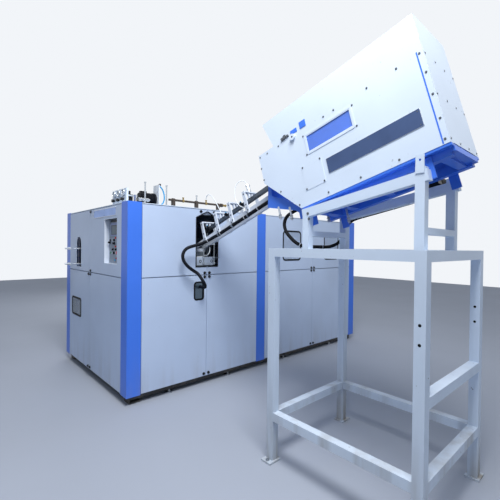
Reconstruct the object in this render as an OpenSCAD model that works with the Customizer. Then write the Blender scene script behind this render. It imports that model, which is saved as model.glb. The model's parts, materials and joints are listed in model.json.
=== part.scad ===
// Two-stage stretch blow moulding machine with its preform unscrambler, chute and stand.
// X runs along the long front side, Y from the front side into the cabinet, Z up.
// The origin is the centre of the cabinet's four anchor holes, on the floor.

/* [Cabinet] */
// Length of the cabinet's long side
cab_l = 4000; // [3600:10:4600]
// Width of the cabinet
cab_w = 2020; // [1820:10:2300]
// Height of the cabinet body, without its feet
body_h = 1900; // [1710:5:2090]
// Height of the body's bottom edge above the floor
foot_h = 85; // [80:1:110]
// Width of each blue post cover
post_w = 145; // [130:1:155]
// Distance from the left end to the middle posts
mid_x = 1710; // [1690:5:1800]
// Height of the upper row of doors, from the split to the roof
upper_row = 745; // [735:5:790]
// Distance from the front to the seam of the end doors
end_seam = 1075; // [1050:5:1120]
// Distance from a cabinet face to its anchor holes
anchor_in = 110; // [100:5:140]
// Radius of each anchor hole
anchor_r = 9; // [7:0.5:12]

/* [Sheet and frame] */
// Sheet thickness of doors and panels
sheet_t = 2; // [1.5:0.1:2.5]
// Sheet thickness of the post covers
cover_t = 3; // [2:0.5:4]
// Depth of the folded edge of a post cover
cover_lip = 16; // [10:1:20]
// Depth of the folded door trays
door_t = 20; // [18:1:22]
// Gap round each door
door_gap = 5; // [4.5:0.5:6]
// Square tube of the cabinet frame
tube = 60; // [50:5:80]
// Distance from a cabinet face to its frame tubes
frame_in = 28; // [26:1:32]
// Height of the post covers above the roof
post_rise = 6; // [2:1:12]
// Height left above the upper doors for the roof edge
head_gap = 14; // [12:1:18]

/* [Doors] */
// Distance of a hinge pin from the hinge edge of its door
pin_in = 10; // [9:1:12]
// Radius of a hinge pin
pin_r = 4; // [3:0.5:5]
// Radial clearance of a hinge pin in its plate
pin_fit = 0.05; // [0.02:0.01:0.1]
// Thickness of a hinge plate
plate_t = 4; // [3:0.5:4.5]
// Diameter of a latch knob
knob_d = 33; // [28:1:36]
// Distance of a latch knob from the seam of its pair of doors
knob_seam = 32; // [26:1:40]
// Distance of a latch knob from the split
knob_split = 22; // [22:1:30]
// Distance of the top latch knobs from the roof
knob_top = 35; // [32:1:45]

/* [Openings] */
// Half width of the infeed opening
infeed_hw = 146; // [130:1:160]
// Height of the infeed opening's sill above the split
infeed_up = 96; // [70:2:96]
// Height of the infeed opening's shoulders above its sill
infeed_h = 544; // [520:2:550]
// Height of the infeed opening's peak above its shoulders
infeed_peak = 72; // [50:1:72]
// Width of the door windows
win_w = 370; // [300:5:420]
// Height of the door windows
win_h = 400; // [340:5:430]
// Distance of the windows' top edge below the roof
win_drop = 200; // [140:5:230]
// Distance from the bay's seam to the centre of a window
win_off = 472; // [440:2:500]
// Corner radius of the windows
win_r = 50; // [30:5:60]
// Thickness of a window pane
pane_t = 5; // [4:0.5:6]
// Width of the outlet slot in the end cover
slot_w = 185; // [160:5:200]
// Height of the outlet slot
slot_h = 375; // [340:5:400]
// Width of the cable port
port_w = 115; // [100:1:130]
// Height of the cable port
port_h = 188; // [170:2:200]

/* [Feeder] */
// Width of the unscrambler from side to side
uns_w = 490; // [460:5:520]
// Slope of the unscrambler
uns_a = 15.5; // [14.5:0.1:16.5]
// Slope of the stand's two top beams
beam_a = 10.6; // [10:0.1:10.8]
// Length of the stand's lower frame, along the cabinet
stand_w = 960; // [900:10:1040]
// Depth of the stand's lower frame, away from the cabinet
stand_d = 1110; // [1110:10:1180]
// Height of the stand's lower frame
stand_h = 1553; // [1400:1:1710]
// Distance from the cabinet to the stand
stand_gap = 1458; // [1440:2:1460]
// Square tube of the stand's lower frame
leg = 60; // [50:5:70]
// Width of the upper frame's tubes
up_tube = 55; // [45:1:57]
// Radius of a sorting roller
roller_r = 44; // [40:1:46]
// Distance of each sorting roller's axis from the middle
roller_off = 56; // [56:1:62]
// Radius of the corrugated conduit
conduit_r = 18; // [14:1:20]
// Radius of the power cable
cable_r = 14; // [9:1:15]

/* [Moulding unit] */
// Opening of each mould half from the middle
mould_open = 90; // [70:5:100]
// Thickness of each mould half
mould_t = 110; // [100:5:120]
// Radius of a tie bar
tie_r = 25; // [22:1:28]
// Radius of a chain wheel
wheel_r = 200; // [180:5:220]

/* [Hidden] */

$fn = 48;
eps = 0.01;
running_fit = 0.05;
seat_gap = 0.3;

blue = "#3566d6";
door_grey = "#c3c9d2";
white = "#e6e7e4";
steel = "#9aa0a6";
black = "#1b1c1e";
alu = "#c9ccce";

zb = foot_h;
zt = foot_h + body_h;
z_split = zt - upper_row;
far_x = cab_l - post_w;
infeed_z = z_split + infeed_up;
win_top = zt - win_drop;
seam1 = (post_w + mid_x) / 2;
seam2 = (mid_x + post_w + far_x) / 2;
door_top = zt - head_gap;
low_door_z = zb + 2 * door_gap;
low_door_h = z_split - door_gap - low_door_z;
up_door_z = z_split + door_gap;
up_door_h = door_top - up_door_z;
seam_gap = door_gap / 2;

// The cabinet's left front corner on the floor is the local zero of everything below.
module at_corner() { translate([-cab_l / 2, -cab_w / 2, 0]) children(); }

// A profile drawn in outward distance and height, extruded evenly about the local X zero.
module side_profile(w) { rotate([90, 0, -90]) linear_extrude(height = w, center = true) children(); }

module rounded_rect(w, h, r) {
    translate([r, 0]) square([w - 2 * r, h]);
    translate([0, r]) square([w, h - 2 * r]);
    for (x = [r, w - r], y = [r, h - r]) translate([x, y]) circle(r);
}

// A flat shape drawn in X and Z, standing on the front plane, extruded from y0 to y1.
module upright(y0, y1) { translate([0, y1, 0]) rotate([90, 0, 0]) linear_extrude(y1 - y0) children(); }

// A folded sheet tray, open towards the inside of the cabinet.
module tray(w, h) {
    difference() {
        cube([w, door_t, h]);
        translate([sheet_t, sheet_t, sheet_t]) cube([w - 2 * sheet_t, door_t, h - 2 * sheet_t]);
    }
}

module latch_knob() {
    rotate([90, 0, 0]) {
        cylinder(d = knob_d, h = 5);
        translate([0, 0, 5]) cylinder(d = knob_d - 9, h = 5);
        translate([-knob_d / 2 + 3, -3.5, 5]) cube([knob_d - 6, 7, 11]);
    }
}

// A hinged door leaf whose hinge edge is at the local zero; knobs are [x, z] places.
module leaf(w, h, knobs = []) {
    color(door_grey) {
        tray(w, h);
        for (z = [sheet_t, h - sheet_t - 34])
            translate([sheet_t, sheet_t, z]) cube([2 * pin_in - sheet_t, door_t - sheet_t - 1, 34]);
        pin_l = door_gap - seat_gap;
        for (z = [-pin_l, h - 20]) translate([pin_in, door_t / 2, z]) cylinder(r = pin_r, h = 20 + pin_l);
    }
    color(black) for (k = knobs) translate([k[0], 0, k[1]]) latch_knob();
}

module infeed_shape(grow = 0) {
    polygon([
        [-infeed_hw - grow, infeed_z - grow],
        [infeed_hw + grow, infeed_z - grow],
        [infeed_hw + grow, infeed_z + infeed_h + grow / 2],
        [0, infeed_z + infeed_h + infeed_peak + grow],
        [-infeed_hw - grow, infeed_z + infeed_h + grow / 2]
    ]);
}

// Edge trim gripping a sheet: a front lip, a neck through the sheet and a back lip.
lip_w = 9;
lip_t = 3;
neck_t = 3;

module infeed_trim(side) {
    color(black) intersection() {
        difference() {
            translate([seam1, 0, 0]) {
                upright(-lip_t, 0) infeed_shape(lip_w);
                upright(-eps, sheet_t + eps) infeed_shape(0);
                upright(sheet_t, sheet_t + lip_t) infeed_shape(lip_w);
            }
            translate([seam1, 0, 0]) upright(-50, 50) infeed_shape(-neck_t);
        }
        translate([side > 0 ? seam1 + seam_gap + sheet_t : seam1 - 400 - seam_gap - sheet_t, -20, infeed_z - 50])
            cube([400, 60, door_top - infeed_z + 50 - sheet_t - 1]);
    }
}

// Frame and covers of the cabinet

module base_frame() {
    rail_h = foot_h - 40;
    inset = 45;
    color("#2b2d30") at_corner() {
        for (y = [inset, cab_w - inset - 60]) translate([inset, y, 40]) cube([cab_l - 2 * inset, 60, rail_h]);
        for (x = [inset, mid_x + post_w / 2 - 30, cab_l - inset - 60])
            translate([x, inset, 40]) cube([60, cab_w - 2 * inset, rail_h]);
        for (x = [anchor_in, cab_l - anchor_in], y = [anchor_in, cab_w - anchor_in])
            difference() {
                sx = x < cab_l / 2 ? 1 : -1;
                sy = y < cab_w / 2 ? 1 : -1;
                union() {
                    translate([x - 60, y - 60, 0]) cube([120, 120, 12]);
                    translate([x - sx * 55 - 5, y - 60, 0]) cube([10, 120, 40 + eps]);
                }
                translate([x, y, -1]) cylinder(r = anchor_r, h = 14);
            }
    }
}

foot_pad_r = 40;
foot_y = 75;
module levelling_feet() {
    color(steel) at_corner()
        for (k = [0.125, 0.325, 0.575, 0.85], y = [foot_y, cab_w - foot_y]) translate([k * cab_l, y, 0]) {
            cylinder(r = foot_pad_r, h = 10);
            cylinder(r1 = foot_pad_r - 10, r2 = 14, h = 18);
            cylinder(r = 10, h = 40);
            translate([0, 0, 26]) cylinder(r = 15, h = 10, $fn = 6);
        }
}

upright_xs = [frame_in, mid_x + post_w / 2 - tube / 2, cab_l - frame_in - tube];
mid_rail = 40;
module inner_frame() {
    color(white) at_corner() {
        for (x = upright_xs, y = [frame_in, cab_w - frame_in - tube])
            translate([x, y, zb]) cube([tube, tube, body_h - 4]);
        for (z = [zb, zt - 4 - tube]) {
            for (y = [frame_in, cab_w - frame_in - tube])
                translate([frame_in, y, z]) cube([cab_l - 2 * frame_in, tube, tube]);
            for (x = upright_xs) translate([x, frame_in, z]) cube([tube, cab_w - 2 * frame_in, tube]);
        }
        for (y = [frame_in, cab_w - frame_in - mid_rail])
            translate([frame_in, y, z_split - mid_rail / 2]) cube([cab_l - 2 * frame_in, mid_rail, mid_rail]);
        for (x = [frame_in, cab_l - frame_in - mid_rail])
            translate([x, frame_in, z_split - mid_rail / 2]) cube([mid_rail, cab_w - 2 * frame_in, mid_rail]);
    }
}

module corner_cover() {
    linear_extrude(body_h + post_rise) {
        square([post_w, cover_t]);
        square([cover_t, post_w]);
        translate([post_w - cover_t, 0]) square([cover_t, cover_lip]);
        translate([0, post_w - cover_t]) square([cover_lip, cover_t]);
    }
    translate([cover_t, cover_t, body_h + post_rise - cover_t])
        cube([frame_in + tube, frame_in + tube, cover_t]);
    for (z = [120, body_h / 2, body_h - 180]) {
        translate([cover_t, frame_in + 10, z]) cube([frame_in - cover_t, 30, 30]);
        translate([frame_in + 10, cover_t, z]) cube([30, frame_in - cover_t, 30]);
    }
}

module middle_cover() {
    linear_extrude(body_h + post_rise) {
        square([post_w, cover_t]);
        for (x = [0, post_w - cover_t]) translate([x, 0]) square([cover_t, cover_lip]);
    }
    for (z = [120, body_h / 2, body_h - 180])
        translate([post_w / 2 - 15, cover_t, z]) cube([30, frame_in - cover_t, 30]);
}

module post_covers() {
    color(blue) at_corner() translate([0, 0, zb]) {
        for (sx = [0, 1], sy = [0, 1])
            translate([sx * cab_l, sy * cab_w, 0]) mirror([sx, 0, 0]) mirror([0, sy, 0]) corner_cover();
        for (sy = [0, 1]) translate([mid_x, sy * cab_w, 0]) mirror([0, sy, 0]) middle_cover();
    }
}

module roof_panel() {
    edge = cover_lip + 4;
    edge_h = head_gap - door_gap - plate_t / 2;
    color(white) at_corner() {
        difference() {
            translate([edge, edge, zt - 4]) cube([cab_l - 2 * edge, cab_w - 2 * edge, 4]);
            for (sx = [0, 1], sy = [0, 1])
                translate([sx * cab_l, sy * cab_w, zt - 5]) mirror([sx, 0, 0]) mirror([0, sy, 0])
                    cube([frame_in + tube + cover_t + 1, frame_in + tube + cover_t + 1, 6]);
        }
        for (sy = [0, 1], b = [[post_w, mid_x], [mid_x + post_w, far_x]])
            translate([b[0] + 1, sy * cab_w, zt - edge_h]) mirror([0, sy, 0]) cube([b[1] - b[0] - 2, edge + 2, edge_h]);
        for (sx = [0, 1])
            translate([sx * cab_l, post_w + 1, zt - edge_h]) mirror([sx, 0, 0]) cube([edge + 2, cab_w - 2 * post_w - 2, edge_h]);
    }
}

module rear_row() {
    at_corner() translate([0, cab_w, 0]) mirror([0, 1, 0])
        for (b = [[post_w, mid_x], [mid_x + post_w, far_x]], r = [[low_door_z, low_door_h], [up_door_z, up_door_h]])
            translate([b[0] + door_gap, 0, r[0]]) {
                w = b[1] - b[0] - 2 * door_gap;
                tray(w, r[1]);
                for (x = [80, w - 110]) {
                    z = r[0] < z_split ? 5 : r[1] - 35;
                    translate([x, sheet_t, z]) cube([30, frame_in - sheet_t, 30]);
                }
            }
}

module far_end_row() {
    w = cab_w - 2 * post_w - 2 * door_gap;
    at_corner()
        for (r = [[low_door_z, low_door_h], [up_door_z, up_door_h]])
            translate([cab_l, post_w + door_gap, r[0]]) rotate([0, 0, 90]) {
                tray(w, r[1]);
                for (x = [80, w - 110]) {
                    z = r[0] < z_split ? 5 : r[1] - 35;
                    translate([x, sheet_t, z]) cube([30, frame_in - sheet_t, 30]);
                }
            }
}

module fixed_panels() {
    color(door_grey) {
        rear_row();
        far_end_row();
    }
}

// Leaves on the left end face: local X runs away from the hinge post, local Y into the cabinet.
module on_left_end(y) { translate([0, y, 0]) rotate([0, 0, 90]) mirror([0, 1, 0]) children(); }

end_y2 = cab_w - post_w;
slot_y = end_y2 - 375;
slot_z = z_split + 50;
slot_r = slot_w / 2;
module end_slot(grow = 0) {
    translate([slot_y - slot_r - grow, slot_z - grow]) square([slot_w + 2 * grow, slot_h - slot_r + grow]);
    translate([slot_y, slot_z + slot_h - slot_r]) circle(slot_r + grow);
}

module end_cover() {
    w = end_y2 - end_seam - door_gap - seam_gap;
    color(door_grey) at_corner() {
        difference() {
            translate([0, end_seam + seam_gap, up_door_z]) on_left_end(0) tray(w, up_door_h);
            on_left_end(0) upright(-5, 10) end_slot();
        }
        for (y = [end_seam + 60, end_y2 - 110]) translate([sheet_t, y, up_door_z + up_door_h - 35])
            cube([frame_in - sheet_t, 30, 30]);
    }
    color(blue) at_corner() on_left_end(0) upright(sheet_t, sheet_t + lip_t) difference() {
        end_slot(8);
        end_slot(0);
    }
}

hinge_x = [post_w + door_gap + pin_in, mid_x - door_gap - pin_in, mid_x + post_w + door_gap + pin_in, far_x - door_gap - pin_in];
hinge_z = [low_door_z - door_gap, z_split, door_top + door_gap];
module hinge_plate(z) {
    w = 2 * pin_in;
    difference() {
        translate([-w / 2, -door_t / 2 + 2, z - plate_t / 2]) cube([w, frame_in + door_t / 2 - door_t + door_t / 2 - 2, plate_t]);
        translate([0, 0, z - plate_t]) cylinder(r = pin_r + pin_fit, h = 2 * plate_t);
    }
}

module hinge_plates() {
    color(steel) at_corner() {
        for (i = [1, 2, 3], z = hinge_z) translate([hinge_x[i], door_t / 2, 0]) hinge_plate(z);
        translate([door_t / 2, post_w + door_gap + pin_in, 0]) rotate([0, 0, -90]) for (z = hinge_z) hinge_plate(z);
        translate([door_t / 2, end_y2 - door_gap - pin_in, 0]) rotate([0, 0, -90])
            for (z = [hinge_z[0], hinge_z[1]]) hinge_plate(z);
    }
}

// Front doors and fixed panels of bay 1

w1 = seam1 - seam_gap - post_w - door_gap;
knob_low = [low_door_z + 27, z_split - knob_split];
knob_up = [z_split + knob_split, zt - knob_top];
peak_knob = 90;

port_x = seam1 - 162.5;
port_z = z_split - 270;
port_r = 25;
module port_shape(grow = 0) {
    translate([port_x - grow, port_z - grow]) rounded_rect(port_w + 2 * grow, port_h + 2 * grow, port_r + grow);
}

module fixed_panel_blocks(w, h, low) {
    for (x = [80, w - 150]) translate([x, sheet_t, low ? 3 : h - 33]) cube([30, frame_in - sheet_t, 30]);
    for (x = [80, w - 150]) translate([x, sheet_t, low ? h - 13 : 3]) cube([30, frame_in - sheet_t, 10]);
}

module port_panel() {
    at_corner() {
        color(door_grey) difference() {
            translate([post_w + door_gap, 0, low_door_z]) {
                tray(w1, low_door_h);
                fixed_panel_blocks(w1, low_door_h, true);
            }
            upright(-5, door_t) port_shape();
        }
        color(black) for (z = knob_low) translate([seam1 - knob_seam, 0, z]) latch_knob();
    }
}

conduit_exit = [port_x + 67, port_z + 140];
module port_plate() {
    at_corner() {
        color(black) difference() {
            union() {
                upright(-lip_t, 0) port_shape(lip_w);
                upright(0, sheet_t) port_shape(0);
                upright(sheet_t, sheet_t + lip_t) port_shape(lip_w);
            }
            upright(-20, 20) port_shape(-neck_t);
        }
        color(steel) difference() {
            upright(sheet_t + lip_t, sheet_t + lip_t + 3) port_shape(lip_w);
            translate([conduit_exit[0], 30, conduit_exit[1]]) rotate([90, 0, 0]) cylinder(r = conduit_r + 2, h = 60);
        }
        color(black) difference() {
            translate([conduit_exit[0], sheet_t + lip_t, conduit_exit[1]]) rotate([90, 0, 0]) cylinder(r = conduit_r + 7, h = 14);
            translate([conduit_exit[0], 30, conduit_exit[1]]) rotate([90, 0, 0]) cylinder(r = conduit_r + seat_gap, h = 60);
        }
    }
}

module infeed_left_panel() {
    at_corner() {
        color(door_grey) difference() {
            translate([post_w + door_gap, 0, up_door_z]) {
                tray(w1, up_door_h);
                fixed_panel_blocks(w1 - 180, up_door_h, false);
            }
            translate([seam1, 0, 0]) upright(-5, door_t + 5) infeed_shape();
        }
        color(black) {
            translate([seam1 - knob_seam, 0, knob_up[0]]) latch_knob();
            translate([seam1 - peak_knob, 0, knob_up[1]]) latch_knob();
        }
    }
}

module right_leaf(x, z, w, h, knobs) { translate([x, 0, z]) mirror([1, 0, 0]) leaf(w, h, knobs); }

module infeed_right_door() {
    x = mid_x - door_gap;
    at_corner() difference() {
        right_leaf(x, up_door_z, x - seam1 - seam_gap, up_door_h,
            [[x - seam1 - knob_seam, knob_up[0] - up_door_z], [x - seam1 - peak_knob, knob_up[1] - up_door_z]]);
        translate([seam1, 0, 0]) upright(-5, door_t + 5) infeed_shape();
    }
}

module lower_right_door() {
    x = mid_x - door_gap;
    at_corner() right_leaf(x, low_door_z, x - seam1 - seam_gap, low_door_h,
        [for (z = knob_low) [x - seam1 - knob_seam, z - low_door_z]]);
}

module infeed_trim_left() { at_corner() infeed_trim(-1); }
module infeed_trim_right() { at_corner() infeed_trim(1); }

// Front doors of bay 2

w2 = seam2 - seam_gap - (mid_x + post_w + door_gap);
module window_shape(cx, grow = 0) {
    translate([cx - win_w / 2 - grow, win_top - win_h - grow]) rounded_rect(win_w + 2 * grow, win_h + 2 * grow, win_r + grow);
}

module window(cx) {
    color(black) difference() {
        union() {
            upright(-lip_t, 0) window_shape(cx, lip_w + 4);
            upright(0, sheet_t) window_shape(cx, 0);
            upright(sheet_t, sheet_t + lip_t) window_shape(cx, lip_w + 4);
        }
        upright(-20, 20) window_shape(cx, -lip_w);
    }
    color("#9fb4c8") upright(-1.5, -1.5 + pane_t) window_shape(cx, -lip_w);
}

module bay2_upper_left_door() {
    x = mid_x + post_w + door_gap;
    at_corner() difference() {
        translate([x, 0, up_door_z]) leaf(w2, up_door_h, [for (z = knob_up) [seam2 - knob_seam - x, z - up_door_z]]);
        upright(-5, door_t) window_shape(seam2 - win_off);
    }
}

module bay2_upper_right_door() {
    x = far_x - door_gap;
    at_corner() difference() {
        right_leaf(x, up_door_z, w2, up_door_h, [for (z = knob_up) [x - seam2 - knob_seam, z - up_door_z]]);
        upright(-5, door_t) window_shape(seam2 + win_off);
    }
}

module bay2_lower_left_door() {
    x = mid_x + post_w + door_gap;
    at_corner() translate([x, 0, low_door_z]) leaf(w2, low_door_h, [for (z = knob_low) [seam2 - knob_seam - x, z - low_door_z]]);
}

module bay2_lower_right_door() {
    x = far_x - door_gap;
    at_corner() right_leaf(x, low_door_z, w2, low_door_h, [for (z = knob_low) [x - seam2 - knob_seam, z - low_door_z]]);
}

module window_left() { at_corner() window(seam2 - win_off); }
module window_right() { at_corner() window(seam2 + win_off); }

// End doors and the control panel

end_w = end_seam - seam_gap - post_w - door_gap;
tub_y = 257;
tub_z = z_split + 127;
tub_w = 350;
tub_h = 473;
tub_d = 54;
tub_t = 2;
end_y1 = post_w + door_gap;
control_z = tub_z + 115;
estop_y = 333;
selector_y = 430;
start_y = 520;
estop_r = 8;
start_r = 6;
selector_r = 5;
plate_y = 276;
plate_w = 668;
plate_z = zt - 118;
plate_h = 90;

module control_door() {
    at_corner() difference() {
        translate([0, end_y1, up_door_z]) on_left_end(0)
            leaf(end_w, up_door_h, [for (z = knob_up) [end_seam - knob_seam - end_y1, z - up_door_z]]);
        translate([-5, tub_y, tub_z]) cube([door_t, tub_w, tub_h]);
    }
}

module collar(y, r_out, r_in) {
    translate([tub_d - tub_t - 8, y, control_z]) rotate([0, 90, 0]) difference() {
        cylinder(r = r_out, h = 8);
        translate([0, 0, -1]) cylinder(r = r_in + running_fit, h = 20);
    }
}

module control_tub() {
    color(white) at_corner() {
        difference() {
            translate([0, tub_y, tub_z]) cube([tub_d, tub_w, tub_h]);
            translate([-1, tub_y + tub_t, tub_z + tub_t]) cube([tub_d - tub_t + 1, tub_w - 2 * tub_t, tub_h - 2 * tub_t]);
            for (b = [[estop_y, estop_r], [selector_y, selector_r], [start_y, start_r]])
                translate([tub_d - 10, b[0], control_z]) rotate([0, 90, 0]) cylinder(r = b[1] + running_fit, h = 20);
        }
        collar(estop_y, 22, estop_r);
        collar(selector_y, 14, selector_r);
        collar(start_y, 14, start_r);
        translate([tub_d - tub_t - 6, estop_y, control_z + 78]) rotate([0, 90, 0]) cylinder(r = 11, h = 6);
    }
}

module control_screen() {
    color(black) at_corner() translate([tub_d - tub_t - 14, tub_y + 25, tub_z + 205]) difference() {
        cube([14, 300, 235]);
        translate([-1, 22, 28]) cube([3, 256, 179]);
    }
}

// A control whose stem turns or slides in its collar; travel is the gap under its head.
stem_out = 12;
module control_stem(y, r, travel) {
    translate([tub_d - tub_t - 8 - travel - seat_gap, y, control_z]) rotate([0, 90, 0])
        cylinder(r = r, h = 8 + travel + seat_gap + stem_out);
}

estop_travel = 6;
start_travel = 3;
module estop_button() {
    color("#c8171c") at_corner() {
        control_stem(estop_y, estop_r, estop_travel);
        translate([tub_d - tub_t - 8 - estop_travel - seat_gap, estop_y, control_z]) rotate([0, -90, 0]) {
            cylinder(r1 = 14, r2 = 20, h = 6);
            translate([0, 0, 6]) cylinder(r = 20, h = 5);
            translate([0, 0, 11]) cylinder(r1 = 20, r2 = 15, h = 4);
        }
    }
}

module start_button() {
    color("#1f8a4c") at_corner() {
        control_stem(start_y, start_r, start_travel);
        translate([tub_d - tub_t - 8 - start_travel - seat_gap, start_y, control_z]) rotate([0, -90, 0])
            cylinder(r = 11, h = 5);
    }
}

module selector_switch() {
    color(black) at_corner() {
        control_stem(selector_y, selector_r, 0);
        translate([tub_d - tub_t - 8 - seat_gap, selector_y, control_z]) rotate([0, -90, 0]) {
            cylinder(r = 13, h = 6);
            translate([-14, -4, 6]) cube([28, 8, 10]);
        }
    }
}

module nameplate() {
    color("#6f7478") at_corner() translate([-2, plate_y, plate_z]) cube([2, plate_w, plate_h]);
}

module end_right_door() {
    at_corner() translate([0, end_y1, low_door_z]) on_left_end(0)
        leaf(end_w, low_door_h, [for (z = knob_low) [end_seam - knob_seam - end_y1, z - low_door_z]]);
}

end_win_w = 352;
end_win_y = end_y2 - 123 - end_win_w;
end_win_z = z_split - 574;
end_win_h = 214;
module end_window_shape(grow = 0) {
    translate([end_win_y - grow, end_win_z - grow]) rounded_rect(end_win_w + 2 * grow, end_win_h + 2 * grow, 20 + grow);
}

module end_left_door() {
    w = end_y2 - door_gap - end_seam - seam_gap;
    at_corner() difference() {
        translate([0, end_y2 - door_gap, low_door_z]) rotate([0, 0, -90])
            leaf(w, low_door_h, [for (z = knob_low) [w - knob_seam + seam_gap, z - low_door_z]]);
        on_left_end(0) upright(-5, door_t) end_window_shape();
    }
}

module window_end() {
    at_corner() on_left_end(0) {
        color(black) difference() {
            union() {
                upright(-lip_t, 0) end_window_shape(lip_w + 3);
                upright(0, sheet_t) end_window_shape();
                upright(sheet_t, sheet_t + lip_t) end_window_shape(lip_w + 3);
            }
            upright(-20, 20) end_window_shape(-lip_w);
        }
        color("#9fb4c8") upright(-1.5, -1.5 + pane_t) end_window_shape(-lip_w);
    }
}

// Bottle outlet: two rails that leave the end cover's slot, with stop blocks
rail_out = 150;
rail_in = 420;
rail_r = 10;
module outlet_rails() {
    at_corner() {
        color(alu) for (z = [slot_z + 32, slot_z + 226], y = [slot_y - 42, slot_y + 42])
            translate([-rail_out, y, z]) rotate([0, 90, 0]) cylinder(r = rail_r, h = rail_out + rail_in);
        color(black) for (z = [slot_z + 32, slot_z + 226]) for (x = [-110, 60, rail_in - 30])
            translate([x, slot_y - 60, z - 16]) cube([26, 120, 32]);
        color(steel) translate([rail_in - 30, slot_y - 60, bed_z]) cube([26, 120, slot_z + 226 - bed_z]);
    }
}

// Machine bed and the heating and moulding units on it

bed_z = 900;
bed_x = 180;
bed_l = cab_l - 2 * bed_x;
bed_y = 330;
bed_w = cab_w - 720;
sill_w = 260;
module machine_bed() {
    color("#8d949b") at_corner() {
        difference() {
            union() {
                translate([bed_x, bed_y, bed_z - 30]) cube([bed_l, bed_w, 30]);
                for (x = [wheel_x, wheel_x + wheel_gap])
                    translate([x, chain_y, bed_z - eps]) cylinder(r = 50, h = chain_z - 30 - bed_z);
            }
            for (x = [wheel_x, wheel_x + wheel_gap])
                translate([x, chain_y, bed_z - 40]) cylinder(r = shaft_r + running_fit, h = chain_z - bed_z + 40);
        }
        for (x = [bed_x + 40, cab_l / 2 - 40, cab_l - bed_x - 120], y = [bed_y + 20, bed_y + bed_w - 100])
            translate([x, y, zb + tube]) cube([80, 80, bed_z - 30 - zb - tube]);
        for (y = [bed_y + 20, bed_y + bed_w - 100], i = [0, 1])
            translate([upright_xs[i] + tube, y, zb]) cube([upright_xs[i + 1] - upright_xs[i] - tube, 80, tube]);
        translate([seam1 - 60, bed_y - 200, bed_z - 30]) cube([120, 200 + eps, 30]);
        translate([seam1 - 60, bed_y - 190, bed_z - eps]) cube([120, 40, chute_foot_z - bed_z]);
        translate([seam1, 0, 0]) {
            upright(bed_y - 198, bed_y - 190 + eps) difference() {
                translate([-sill_w / 2, infeed_z + 10]) square([sill_w, 80]);
                for (x = [-100, -36, 36, 100]) translate([x, infeed_z + 50]) circle(14);
            }
            for (x = [-100, 100]) translate([x, bed_y - 190 + 5, infeed_z + 20]) cylinder(r = 6, h = 500);
        }
    }
}

chain_y = 800;
clamp_x = cab_l - 610;
wheel_x = 560;
wheel_gap = clamp_x - 730 - wheel_x;
chain_z = bed_z + 210;
oven_in = 220;
oven_x = wheel_x + oven_in;
oven_l = wheel_gap - 2 * oven_in;
oven_h = 420;
module oven_walls() {
    color(steel) at_corner() {
        for (y = [chain_y - wheel_r - 150, chain_y - wheel_r + 90])
            translate([oven_x, y, bed_z]) cube([oven_l, 20, oven_h]);
        for (x = [oven_x, oven_x + oven_l - 40])
            translate([x, chain_y - wheel_r - 130, bed_z]) cube([40, 220, 120]);
        for (i = [0:7]) translate([oven_x + 60 + i * (oven_l - 180) / 7, chain_y - wheel_r - 200, bed_z])
            cube([40, 50, 300]);
    }
}

lamp_n = 8;
module oven_lamps() {
    color("#e9b26a") at_corner() for (i = [0:lamp_n - 1]) translate([oven_x + 30, chain_y - wheel_r - 110, bed_z + 150 + i * 32]) {
        rotate([0, 90, 0]) cylinder(r = 6, h = oven_l - 60);
        for (x = [0, oven_l - 90]) translate([x, -20, -9]) cube([30, 26, 18]);
    }
}

module chain_path(grow) {
    hull_l = wheel_gap;
    for (x = [0, hull_l]) translate([x, 0]) circle(wheel_r + grow);
    translate([0, -wheel_r - grow]) square([hull_l, 2 * (wheel_r + grow)]);
}

pitch = 100;
module preform_chain() {
    straight_n = floor(wheel_gap / pitch);
    arc_n = 6;
    color("#4a4d52") at_corner() translate([wheel_x, chain_y, chain_z]) {
        difference() {
            linear_extrude(20) chain_path(18);
            translate([0, 0, -1]) linear_extrude(22) chain_path(2);
        }
        for (s = [-1, 1], i = [0:straight_n - 1])
            translate([i * pitch + pitch / 2, s * (wheel_r + 10), 20 - eps]) mandrel();
        for (s = [0, 1], i = [1:arc_n]) {
            a = 90 + 180 * i / (arc_n + 1) + 180 * s;
            translate([s * wheel_gap + (wheel_r + 10) * cos(a), (wheel_r + 10) * sin(a), 20 - eps]) mandrel();
        }
        for (x = [300, wheel_gap / 2, wheel_gap - 300], s = [-1, 1])
            translate([x - 15, s * (wheel_r + 10) - 6, bed_z - chain_z]) cube([30, 12, chain_z - bed_z + eps]);
    }
}

module mandrel() {
    cylinder(r = 7, h = 16, $fn = 16);
    translate([0, 0, 16]) cylinder(r = 10, h = 8, $fn = 16);
    translate([0, 0, 24]) cylinder(r1 = 9, r2 = 6, h = 22, $fn = 16);
}

shaft_r = 20;
module chain_wheel(x) {
    color(alu) at_corner() translate([x, chain_y, chain_z]) {
        difference() {
            cylinder(r = wheel_r + 1, h = 20, $fn = 96);
            for (a = [0:60:300]) rotate([0, 0, a]) translate([wheel_r * 0.58, 0, -1]) cylinder(r = 45, h = 22);
        }
        translate([0, 0, -20]) cylinder(r = 45, h = 60);
        translate([0, 0, bed_z - 60 - chain_z]) cylinder(r = shaft_r, h = chain_z - bed_z + 60);
    }
}
module chain_wheel_left() { chain_wheel(wheel_x); }
module chain_wheel_right() { chain_wheel(wheel_x + wheel_gap); }

// Clamp unit with its fixed end plates, tie bars and moving moulds

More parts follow.
